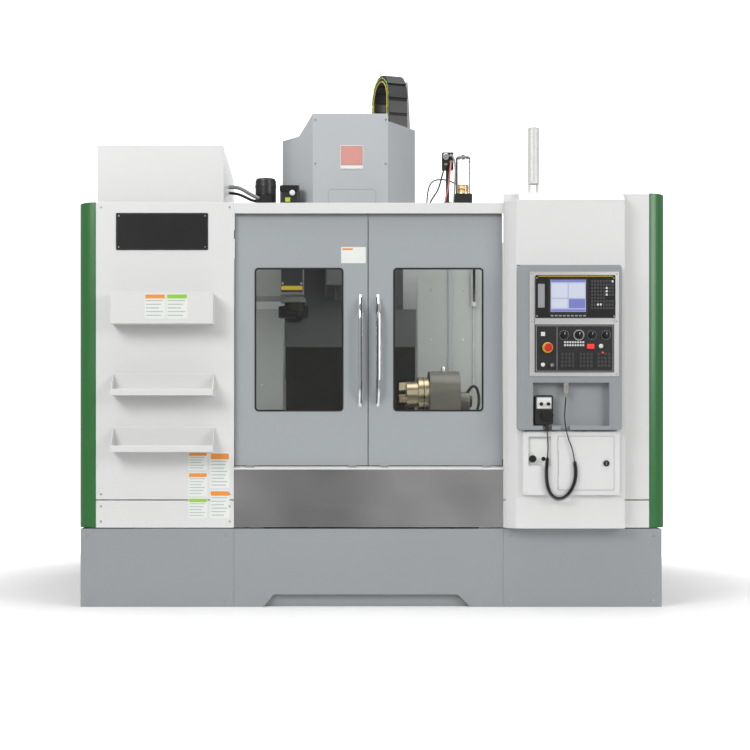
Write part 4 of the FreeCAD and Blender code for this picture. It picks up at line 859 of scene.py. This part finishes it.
# %% Screen and its keys
screen_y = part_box("screen_unit")[0][1]
LCD = (0.877, 1.054, 1.478, 1.640)
plate(
    "display", (LCD[0] + 0.001, LCD[1] - 0.001, LCD[2] + 0.001, LCD[3] - 0.001), screen_y + 0.0005, 0.0015,
    0.001, screen_glow, ease=0,
)
fields = (
    (0.02, 0.98, 0.92, 0.99, screen_dark), (0.03, 0.48, 0.44, 0.88, screen_pale),
    (0.52, 0.97, 0.44, 0.88, screen_pale), (0.03, 0.48, 0.12, 0.40, screen_pale),
    (0.52, 0.97, 0.12, 0.40, screen_dark), (0.02, 0.98, 0.02, 0.08, screen_dark),
)
wide, tall = LCD[1] - LCD[0], LCD[3] - LCD[2]
for number, (left, right, low, high, glow) in enumerate(fields):
    span = (LCD[0] + left * wide, LCD[0] + right * wide, LCD[2] + low * tall, LCD[2] + high * tall)
    plate(f"display_field_{number}", span, screen_y + 0.0002, 0.0003, 0.001, glow, ease=0)
frame_ring(
    "screen_seat", (0.866, 1.065, 1.467, 1.651), 0.009, screen_y - 0.0012, 0.0015, 0.006, black_plastic,
)
plate(
    "screen_line", (0.815, 1.188, 1.6545, 1.6575), screen_y - 0.0005, 0.0005, 0.001, yellow_plastic, ease=0,
)
plate(
    "drive_cover", (0.815, 0.848, 1.500, 1.618), screen_y - 0.0012, 0.0015, 0.003, grey_plastic,
)
PAD_LEFT, PAD_TOP, PAD_ACROSS, PAD_DOWN = 1.083, 1.630, 0.0145, 0.0165


def pad_place(row, column, proud):
    return (PAD_LEFT + PAD_ACROSS * column, screen_y - proud, PAD_TOP - PAD_DOWN * row)


pad_points = [pad_place(r, c, 0.0006) for r in range(9) for c in range(8) if not (r == 5 and c > 4)]
grow("membrane_keys", pad_points, key_tree, dark_key, {"Cap size": (0.0115, 0.0125, 0.0014)})
white_keys = ((2, 5), (3, 5), (4, 5), (7, 2), (7, 3), (0, 7))
white_pad = [pad_place(r, c, 0.0008) for r, c in white_keys]
grow("membrane_keys_white", white_pad, key_tree, key_plastic, {"Cap size": (0.0100, 0.0110, 0.0022)})
soft_points = [(0.885 + 0.0201 * c, screen_y - 0.0006, 1.4595) for c in range(9)]
grow("soft_keys", soft_points, key_tree, grey_plastic, {"Cap size": (0.0150, 0.0070, 0.0014)})
print("screen dressed")

# %% Key plate: border, divider, dial rings, key caps, lamp, display and light
KEYS_Y, KNOB_ROW = -1.203, 1.364
frame_ring(
    "key_plate_border", (0.806, 1.189, 1.184, 1.411), 0.0018, KEYS_Y - 0.0006, 0.0008, 0.004, line_print,
)
plate(
    "key_plate_divider", (0.9095, 0.9110, 1.190, 1.405), KEYS_Y - 0.0006, 0.0008, 0.0006, line_print,
    ease=0,
)
KNOBS = {"mode": 0.945, "feed": 1.019, "rapid": 1.083, "spindle": 1.153}
for knob, x in KNOBS.items():
    grow(
        f"{knob}_ticks", [(0, 0, 0)], tick_tree, pale_print,
        {
            "Ring radius": 0.0225, "Count": 16, "Tick size": (0.0045, 0.0009, 0.0006),
            "Centre": (x, KEYS_Y - 0.0006, KNOB_ROW),
        },
    )
    plate(
        f"{knob}_pointer", (x - 0.0009, x + 0.0009, 1.3655, 1.3755), KEYS_Y - 0.0245, 0.0005, 0.0005,
        pale_print, f"{knob}_knob", ease=0,
    )
frame_ring(
    "feed_dial_ring", (0.9925, 1.0455, 1.3375, 1.3905), 0.003, KEYS_Y - 0.0006, 0.0008, 0.026, line_print,
)
small_keys = [(0.9495 + 0.013 * c, KEYS_Y - 0.0018, z) for z in (1.3285, 1.3135) for c in range(8)]
grow("small_keys", small_keys, key_tree, key_plastic, {"Cap size": (0.0092, 0.0092, 0.0014)})
block_keys = []
for start in (0.930, 1.021, 1.109):
    block_keys += [
        (start + 0.0065 + 0.0175 * c, KEYS_Y - 0.0018, 1.2125 + 0.0185 * r) for r in range(4)
        for c in range(4)
    ]
block_keys = [p for p in block_keys if math.hypot(p[0] - 1.137, p[2] - 1.277) > 0.016]
grow("block_keys", block_keys, key_tree, dark_key, {"Cap size": (0.0128, 0.0148, 0.0016)})
key_marks = [(p[0], p[1] - 0.0009, p[2] + 0.002) for p in block_keys]
grow("key_marks", key_marks, key_tree, pale_print, {"Cap size": (0.0070, 0.0030, 0.0004)})
frame_ring("display_seat", (1.056, 1.099, 1.292, 1.325), 0.003, KEYS_Y - 0.003, 0.004, 0.003, black_plastic)
plate("red_display", (1.060, 1.095, 1.297, 1.320), KEYS_Y - 0.0016, 0.002, 0.001, red_glow, ease=0)
turned(
    "plate_lamp", [(0.0, 0.011), (-0.005, 0.011), (-0.0075, 0.0085), (-0.0088, 0.004)],
    (1.128, KEYS_Y - 0.0002, 1.309), "Y", lamp_plastic,
)
turned(
    "plate_light", [(0.0, 0.005), (-0.002, 0.005), (-0.0035, 0.003)], (1.137, KEYS_Y - 0.0002, 1.277), "Y",
    red_glow,
)
turned(
    "stop_collar", [(0.0, 0.026), (-0.002, 0.026), (-0.0035, 0.0245), (-0.0035, 0.0125), (0.0, 0.0125)],
    (0.864, KEYS_Y - 0.0002, 1.302), "Y", yellow_plastic,
)
turned(
    "stop_face", [(0.0, 0.0175), (-0.0012, 0.0170), (-0.0016, 0.014)], (0.864, -1.229, 1.302), "Y",
    red_plastic, "emergency_stop",
)
print("key plate dressed")

# %% Bezel screws, pendant face and dial
fascia_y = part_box("console_fascia")[0][1]
bezel_screws = [(x, fascia_y - 0.0007, z) for x in (0.786, 1.208) for z in (1.171, 1.432, 1.668)]
bezel_screws += [(x, screen_y - 0.0005, z) for x in (0.811, 1.192) for z in (1.458, 1.6465)]
grow(
    "console_screws", plate_screws + bezel_screws, screw_tree, turned_steel,
    {"Head radius": 0.0042, "Head height": 0.002},
)
frame_ring(
    "bezel_sheet", (0.7745, 1.2195, 1.1595, 1.6795), 0.0262, fascia_y - 0.0008, 0.001, 0.004, bezel_steel,
)
plate("bezel_bridge", (0.798, 1.196, 1.4175, 1.4485), fascia_y - 0.0008, 0.001, 0.0005, bezel_steel, ease=0)
SHELL_Y = -1.193
plate("pendant_face", (0.814, 0.882, 1.001, 1.053), SHELL_Y - 0.0006, 0.0008, 0.004, pale_print, ease=0)
frame_ring(
    "pendant_face_band", (0.811, 0.885, 0.998, 1.056), 0.0016, SHELL_Y - 0.0008, 0.001, 0.003, pale_print,
)
for name, x in (("pendant_axis_knob", 0.833), ("pendant_rate_knob", 0.868)):
    grow(
        name + "_ticks", [(0, 0, 0)], tick_tree, pale_print,
        {
            "Ring radius": 0.0128, "Count": 10, "Tick size": (0.0032, 0.0009, 0.0005),
            "Centre": (x, SHELL_Y - 0.0005, 1.022),
        },
    )
grow(
    "pendant_dial_ticks", [(0, 0, 0)], tick_tree, pale_print,
    {
        "Ring radius": 0.0262, "Count": 50, "Tick size": (0.0036, 0.0006, 0.0006),
        "Centre": (0.864, SHELL_Y - 0.0115, 0.967),
    },
    "pendant_dial",
)
print("pendant dressed")

# %% [markdown]
# ## Cable carrier over the head
# A cable carrier is a chain of hollow links that roll over as the head moves. We draw its outline as
# a line in the chain's own plane, put one link plate every pitch along it, and then turn the whole
# chain to the angle at which it stands. A few cables show along its open side.

# %% Tree for chain links along a line
def make_link_tree():
    tree, entry, leave = new_tree("Chain links", [
        ("Pitch", FLOAT, 0.079), ("Link size", VECTOR, (0.112, 0.006, 0.07)),
        ("Lean", VECTOR, (0, 0, 0)), ("Place", VECTOR, (0, 0, 0)),
    ])
    line = node_in(tree, "GeometryNodeMeshToCurve", {0: entry.outputs["Geometry"]})
    even = node_in(
        tree, "GeometryNodeResampleCurve", {"Curve": line.outputs[0], "Length": entry.outputs["Pitch"]},
        mode="LENGTH",
    )
    tangent = tree.nodes.new("GeometryNodeInputTangent")
    align = node_in(
        tree, "FunctionNodeAlignRotationToVector", {"Vector": tangent.outputs[0]}, axis="Z", pivot_axis="X",
    )
    link = node_in(tree, "GeometryNodeMeshCube", {"Size": entry.outputs["Link size"]})
    place = node_in(tree, "GeometryNodeInstanceOnPoints", {
        "Points": even.outputs[0], "Instance": link.outputs["Mesh"], "Rotation": align.outputs[0],
    })
    stand = node_in(tree, "GeometryNodeTransform", {
        "Geometry": place.outputs[0], "Rotation": entry.outputs["Lean"],
        "Translation": entry.outputs["Place"],
    })
    end_tree(tree, entry, leave, stand.outputs[0])
    return tree


link_tree = make_link_tree()
CHAIN_PLACE = (0.098, 0.045, 2.834)
CHAIN_LEAN = math.radians(18)
CHAIN_FOOT = -0.236


def chain_line(radius, inset, foot=CHAIN_FOOT):
    """Points up the front run, over the arch and down the rear run, in the chain's own plane."""
    line = [(inset, -radius, foot), (inset, -radius, 0.0)]
    line += [
        (inset, -radius * math.cos(math.radians(a)), radius * math.sin(math.radians(a)))
        for a in range(6, 180, 6)
    ]
    return line + [(inset, radius, 0.0), (inset, radius, -0.19)]


def stand_chain(point):
    return Matrix.Translation(CHAIN_PLACE) @ Matrix.Rotation(CHAIN_LEAN, 4, "Z") @ Vector(point)


def edge_mesh(name, points):
    mesh = bpy.data.meshes.new(name)
    mesh.from_pydata(points, [(i, i + 1) for i in range(len(points) - 1)], [])
    return mesh


chain_turn = (0, 0, CHAIN_LEAN)
for name, radius, size in (
    ("outer_links", 0.1372, (0.1120, 0.0060, 0.0680)), ("inner_links", 0.0948, (0.1120, 0.0055, 0.0440)),
):
    pitch = 0.079 * radius / 0.1372
    grow(
        name, edge_mesh(name + "_line", chain_line(radius, 0.056)), link_tree, motor_paint,
        {"Pitch": pitch, "Link size": size, "Lean": chain_turn, "Place": CHAIN_PLACE},
    )
grow(
    "side_links", edge_mesh("side_links_line", chain_line(0.116, 0.0)), link_tree, motor_paint,
    {"Pitch": 0.067, "Link size": (0.005, 0.040, 0.058), "Lean": chain_turn, "Place": CHAIN_PLACE},
)
for name, radius, inset, size, paint in (
    ("chain_cable_1", 0.107, -0.001, 0.0035, yellow_plastic),
    ("chain_cable_2", 0.099, 0.004, 0.004, grey_plastic),
    ("chain_cable_3", 0.127, -0.001, 0.003, green_plastic),
):
    tube(name, [stand_chain(p) for p in chain_line(radius, inset, -0.200)], size, paint)
print("cable carrier dressed")

# %% [markdown]
# ## Head cover, motors, lubricator and tower
# The cover has a shallow pressed panel low on its front, and a plain red plate in a pale frame.
# The lubricator is a clear cup between two plates, held by four rods, with amber oil low in it, and
# thin hoses run from its valve block down into the cabin.

# %% Head cover's panel and bare badge
BONNET_Y = -0.480
frame_ring(
    "bonnet_panel", (-0.217, 0.046, 2.062, 2.219), 0.0025, BONNET_Y - 0.0006, 0.001, 0.018, fascia_enamel,
)
frame_ring(
    "bonnet_badge_rim", (-0.150, -0.024, 2.330, 2.459), 0.003, BONNET_Y - 0.0026, 0.0026, 0.006, pale_print,
)
plate("bonnet_badge", (-0.146, -0.028, 2.352, 2.455), BONNET_Y - 0.002, 0.002, 0.006, badge_red)
plate("bonnet_badge_foot", (-0.146, -0.028, 2.334, 2.349), BONNET_Y - 0.002, 0.002, 0.003, pale_print)
bonnet_screws = [(x, BONNET_Y - 0.001, z) for x in (-0.287, 0.099) for z in (2.09, 2.36, 2.60)]
grow("bonnet_screws", bonnet_screws, screw_tree, turned_steel, {"Head radius": 0.006, "Head height": 0.003})

# %% Tool changer motors
MOTOR = (-0.565, -0.280)
turned(
    "motor_cowl", [(0.0, 0.0600), (0.012, 0.0600), (0.016, 0.0585)], (*MOTOR, 2.262), "Z",
    motor_paint,
)
turned(
    "motor_ring", [(0.0, 0.0595), (0.004, 0.0595)], (*MOTOR, 2.215), "Z", gloss_black,
)
plate("motor_box", (-0.600, -0.530, 2.150, 2.206), -0.352, 0.016, 0.004, motor_paint)
block_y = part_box("tool_changer_motors")[0][1]
turned(
    "block_cap", [(0.0, 0.015), (-0.010, 0.015), (-0.014, 0.010)], (-0.413, block_y, 2.196), "Y",
    pale_print,
)
plate("block_tag", (-0.452, -0.424, 2.148, 2.172), block_y - 0.001, 0.001, 0.002, lime_plastic, ease=0)
plate(
    "block_lid", (-0.482, -0.382, 2.205, 2.236), block_y - 0.005, 0.005, 0.006, gloss_black,
)
for name, size, paint, route in (
    ("motor_lead", 0.011, grey_plastic, [
        (-0.771, -0.30, 2.262), (-0.74, -0.31, 2.262), (-0.70, -0.33, 2.250), (-0.65, -0.345, 2.215),
        (-0.600, -0.347, 2.190),
    ]),
    ("motor_lead_low", 0.008, black_plastic, [
        (-0.771, -0.27, 2.235), (-0.73, -0.29, 2.230), (-0.68, -0.32, 2.205), (-0.64, -0.340, 2.180),
        (-0.598, -0.346, 2.172),
    ]),
    ("block_lead", 0.006, black_plastic, [
        (-0.540, -0.350, 2.165), (-0.520, -0.375, 2.130), (-0.490, -0.42, 2.100), (-0.455, -0.455, 2.085),
        (-0.440, -0.480, 2.110),
    ]),
):
    tube(name, route, size, paint)
print("motors dressed")

# %% Lubricator: rods, plates, oil and hoses
CUP = (0.462, -1.040)
turned(
    "cup_lid", [(0.0, 0.0335), (0.006, 0.0335), (0.009, 0.030)], (*CUP, 2.2735), "Z", grey_plastic,
)
turned("cup_cap", [(0.0, 0.010), (0.008, 0.010), (0.010, 0.007)], (*CUP, 2.2815), "Z", black_plastic)
turned("cup_oil", [(0.0, 0.0272), (0.046, 0.0272)], (*CUP, 2.0905), "Z", amber_oil)
turned("cup_foot", [(0.0, 0.0345), (0.004, 0.0345)], (*CUP, 2.0902), "Z", turned_steel)
for number, (dx, dy) in enumerate(((-0.0335, -0.01), (0.0335, -0.01), (-0.0335, 0.012), (0.0335, 0.012))):
    turned(
        f"cup_rod_{number}", [(0.0, 0.0022), (0.188, 0.0022)], (CUP[0] + dx, CUP[1] + dy, 2.089), "Z",
        motor_paint, steps=12,
    )
VALVE_Y = -1.060
turned(
    "valve_gauge", [(0.0, 0.016), (-0.010, 0.016), (-0.012, 0.0135), (-0.012, 0.001)],
    (0.372, VALVE_Y, 2.278), "Y", turned_steel,
)
ports = ((0.398, 2.284, turned_steel), (0.398, 2.252, brass_steel), (0.372, 2.238, brass_steel))
for number, (x, z, paint) in enumerate(ports, 1):
    turned(
        f"valve_port_{number}", [(0.0, 0.007), (-0.012, 0.007), (-0.013, 0.005)], (x, VALVE_Y, z), "Y",
        paint, steps=16,
    )
for name, size, paint, route in (
    ("valve_hose_red", 0.0045, hose_red, [
        (0.398, -1.068, 2.252), (0.396, -1.074, 2.235), (0.391, -1.072, 2.19), (0.386, -1.062, 2.12),
        (0.372, -1.045, 2.070), (0.370, -1.04, 2.043),
    ]),
    ("valve_hose_dark", 0.0040, black_plastic, [
        (0.372, -1.068, 2.238), (0.366, -1.074, 2.225), (0.352, -1.070, 2.18), (0.335, -1.062, 2.11),
        (0.300, -1.050, 2.062), (0.292, -1.045, 2.043),
    ]),
    ("valve_hose_grey", 0.0040, grey_plastic, [
        (0.398, -1.068, 2.284), (0.412, -1.074, 2.275), (0.420, -1.072, 2.22), (0.419, -1.060, 2.15),
        (0.416, -1.045, 2.080), (0.415, -1.04, 2.043),
    ]),
    ("cup_lead", 0.0035, black_plastic, [
        (0.282, -0.99, 2.043), (0.283, -0.99, 2.100), (0.300, -0.995, 2.165), (0.355, -1.000, 2.178),
        (0.420, -1.003, 2.160), (0.480, -1.000, 2.110), (0.508, -0.990, 2.060), (0.510, -0.985, 2.043),
    ]),
):
    tube(name, route, size, paint)
print("lubricator dressed")

# %% Signal tower: joints between its sections
TOWER = (0.819, -1.045)
for number, height in enumerate((2.196, 2.258, 2.320, 2.382)):
    turned(
        f"tower_joint_{number}", [(0.0, 0.0287), (0.003, 0.0287)], (*TOWER, height), "Z",
        key_plastic,
    )
turned(
    "tower_cap", [(0.0, 0.0285), (0.003, 0.0285), (0.006, 0.024), (0.0075, 0.012)], (*TOWER, 2.4215),
    "Z", lamp_plastic,
)
plate("fascia_shadow_gap", (0.719, 1.233, 1.7135, 1.7185), -1.1520, 0.0018, 0.001, black_plastic, ease=0)
print("tower dressed")

# %% [markdown]
# ## Inside the cabin
# Through the windows we see the tool changer's case with a yellow guard strip, round-headed screws in
# the splash guard, a guide strip on the rear wall, and a work light with a dark lens. The dark line
# along the front of each chrome door handle is a painted reflection.

# %% Inside pieces
case_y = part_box("tool_changer_gearbox")[0][1]
plate("case_cover", (-0.474, -0.356, 1.652, 2.020), case_y - 0.004, 0.004, 0.006, motor_paint)
plate("case_strip", (-0.472, -0.358, 1.664, 1.686), case_y - 0.006, 0.002, 0.003, yellow_plastic)
case_screws = [(x, case_y - 0.0055, z) for x in (-0.466, -0.364) for z in (1.700, 1.79, 1.88, 2.010)]
guard_screws = [(x, 0.3485, z) for x in (-1.10, -0.85, -0.608, -0.511) for z in (0.84, 1.178, 1.512)]
guard_screws += [(x, 0.3485, z) for x in (0.42, 0.615, 0.90, 1.15) for z in (0.90, 1.451, 1.756)]
grow(
    "guard_screws", case_screws + guard_screws, screw_tree, turned_steel,
    {"Head radius": 0.007, "Head height": 0.003},
)
plate(
    "guide_strip", (0.524, 0.554, 1.00, 1.98), 0.3375, 0.012, 0.003, cover_enamel,
    ease=0.002,
)
plate(
    "light_window", (0.6675, 0.6845, 1.678, 1.882), 0.2945, 0.003, 0.006, gloss_black,
)
tube(
    "rotary_hose",
    [
        (0.566, -0.300, 1.105), (0.590, -0.305, 1.150), (0.622, -0.312, 1.140), (0.634, -0.322, 1.060),
        (0.612, -0.335, 0.985), (0.574, -0.345, 0.948),
    ],
    0.008, cord_rubber, "table",
)
turned(
    "rotary_cap", [(0.0, 0.034), (0.010, 0.034), (0.013, 0.030)], (0.5805, -0.280, 1.060), "X", gloss_black,
    "table",
)
turned(
    "rotary_eye", [(0.0, 0.013), (0.020, 0.013), (0.026, 0.008)], (0.435, -0.280, 1.2295), "Z",
    turned_steel, "table", steps=20,
)
turned(
    "chuck_ring", [(0.0, 0.0962), (0.004, 0.0962)], (0.318, -0.280, 1.100), "X", motor_paint, "chuck",
    steps=48,
)
turned("chuck_bore", [(0.0, 0.021), (-0.0015, 0.021)], (0.2249, -0.280, 1.100), "X", motor_paint, "chuck")
print("inside dressed")

# %% Painted reflection: a dark line down each door handle
DOOR_FACE, GRIP_FRONT, GRIP_FOOT, GRIP_HEAD = -1.052, -1.1075, 1.037, 1.557
for side, x in (("left", -0.0575), ("right", 0.0225)):
    line = [
        (x, DOOR_FACE - 0.012, GRIP_FOOT - 0.008), (x, DOOR_FACE - 0.034, GRIP_FOOT + 0.024),
        (x, GRIP_FRONT, GRIP_FOOT + 0.070), (x, GRIP_FRONT, (GRIP_FOOT + GRIP_HEAD) / 2),
        (x, GRIP_FRONT, GRIP_HEAD - 0.070), (x, DOOR_FACE - 0.034, GRIP_HEAD - 0.024),
        (x, DOOR_FACE - 0.012, GRIP_HEAD + 0.008),
    ]
    # A black tube along the front of the chrome grip: a painted dark reflection.
    tube(f"{side}_handle_painted_reflection", line, 0.0032, black_plastic, f"{side}_door")
print("handles dressed")

# %% Service box: socket bay and door screws
BAY_BACK_Y = -1.153
PORT, BOX_DOOR_Y = (0.795, 0.749), -1.1757
turned(
    "port_ring", [(0.0, 0.0185), (-0.003, 0.0185), (-0.0045, 0.0165), (-0.0045, 0.0135)],
    (PORT[0], -1.1665, PORT[1]), "Y", gloss_black,
)
turned(
    "port_core", [(0.0, 0.010), (-0.0012, 0.010)], (PORT[0], -1.1668, PORT[1]), "Y", black_plastic,
    steps=20,
)
turned(
    "bay_knob_cap", [(0.0, 0.0108), (-0.003, 0.0108), (-0.005, 0.008)], (0.848, -1.1698, 0.749), "Y",
    gloss_black,
)
plate(
    "bay_plate", (0.780, 0.877, 0.722, 0.852), BAY_BACK_Y - 0.0008, 0.001, 0.004, pale_print,
    ease=0,
)
plate(
    "latch_slot", (1.1585, 1.1615, 0.7185, 0.7355), -1.1853, 0.0006, 0.0006, grey_plastic,
    "service_box_latch", ease=0,
)
box_screws = [(x, BOX_DOOR_Y, z) for x in (0.757, 0.907, 1.218) for z in (0.579, 0.875)]
grow(
    "box_screws", box_screws, screw_tree, key_plastic, {"Head radius": 0.0042, "Head height": 0.002},
)
panel_screws = [(x, panel_y - 0.0008, z) for x in (-1.372, -0.722) for z in (0.432, 0.508, 0.570, 2.02)]
panel_screws += [(x, -1.0788, z) for x in (-1.44, -0.74, 0.70, 1.42) for z in (0.36, 0.035)]
grow("panel_screws", panel_screws, screw_tree, turned_steel, {"Head radius": 0.0055, "Head height": 0.0025})
# A thin grey ring round the service box door: painted shade in the gap round its leaf.
frame_ring("leaf_gap_painted_shade", (0.9195, 1.2005, 0.5925, 0.8635), 0.0022, -1.1755, 0.0008, 0.002, grey_plastic)
print("service box dressed")

# %% [markdown]
# ## Floor, backdrop and light
# A pale floor takes the machine's shadow and fades out with distance into a plain white surround, so
# that no horizon line shows from any side. The surround lights nothing. Big soft lights stand in for
# the light of a workshop: a key high on the left, a fill on the right, a broad top light, and a
# weaker one behind. Two small ones light the cabin.

# %% Floor that fades into a white surround
FLOOR_CLEAR, FLOOR_RADIUS = 1.75, 3.6
SURROUND_RADIUS, SURROUND_LOW, SURROUND_HIGH = 17.0, -0.02, 16.0


def ring_of(work, radius, height, count=96):
    turns = [2 * math.pi * i / count for i in range(count)]
    return [work.verts.new((radius * math.cos(a), radius * math.sin(a), height)) for a in turns]


def make_floor():
    work = bmesh.new()
    work.faces.new(ring_of(work, FLOOR_RADIUS, 0.0))
    floor = object_from_bmesh(work, "studio_floor")
    material, tree, shader = plain_material("studio_paper")
    rough = math_in(tree, "ADD", math_in(tree, "MULTIPLY", noise_in(tree, 2.0), 0.05), 0.85)
    middle = node_in(tree, "ShaderNodeVectorMath", {0: object_place(tree)}, operation="LENGTH")
    away = middle.outputs["Value"]
    fade = range_in(tree, away, FLOOR_CLEAR, FLOOR_RADIUS, 1.0, 0.0, interpolation_type="SMOOTHSTEP")
    feed(tree, shader, {"Base Color": (0.9, 0.9, 0.9, 1), "Roughness": rough, "Alpha": fade})
    floor.data.materials.append(material)
    return floor


def make_surround():
    work = bmesh.new()
    low, high = (ring_of(work, SURROUND_RADIUS, z) for z in (SURROUND_LOW, SURROUND_HIGH))
    work.faces.new(low)
    for i in range(len(low)):
        j = (i + 1) % len(low)
        work.faces.new((low[i], low[j], high[j], high[i]))
    surround = object_from_bmesh(work, "studio_surround")
    surround.data.materials.append(glowing("surround_white", (1.0, 1.0, 1.0), 1.0))
    surround.visible_diffuse = False
    surround.visible_glossy = False
    surround.visible_shadow = False
    return surround


make_floor()
make_surround()
print("floor and surround ready")

# %% Lights and world
WORLD_STRENGTH = 0.39


def area_light(name, place, target, size, power):
    data = bpy.data.lights.new(name, "AREA")
    data.shape = "RECTANGLE"
    data.size, data.size_y = size
    data.energy = power
    lamp = bpy.data.objects.new(name, data)
    bpy.context.scene.collection.objects.link(lamp)
    lamp.location = place
    lamp.rotation_euler = (Vector(target) - Vector(place)).to_track_quat("-Z", "Y").to_euler()


area_light("key_light", (-4.5, -6.5, 5.0), (0, 0, 1.2), (4.0, 3.0), 315)
area_light("fill_light", (5.5, -6.0, 3.2), (0, 0, 1.2), (3.5, 3.5), 200)
area_light("top_light", (0, -1.0, 6.5), (0, -0.3, 0), (6.0, 4.0), 235)
area_light("rear_light", (2.5, 7.5, 4.5), (0, 0, 1.2), (4.0, 3.0), 120)
area_light("cabin_light_left", (-0.95, -0.80, 1.10), (-0.55, 0.35, 1.20), (0.3, 0.6), 2.0)
area_light("cabin_light_right", (0.90, -0.80, 1.50), (0.45, 0.35, 1.30), (0.3, 0.6), 3.0)
world = bpy.data.worlds.new("World")
world.use_nodes = True
world.node_tree.nodes["Background"].inputs[0].default_value = (1.0, 1.0, 1.0, 1)
world.node_tree.nodes["Background"].inputs[1].default_value = WORLD_STRENGTH
bpy.context.scene.world = world
bpy.context.scene.view_settings.view_transform = "Standard"
print("studio ready")
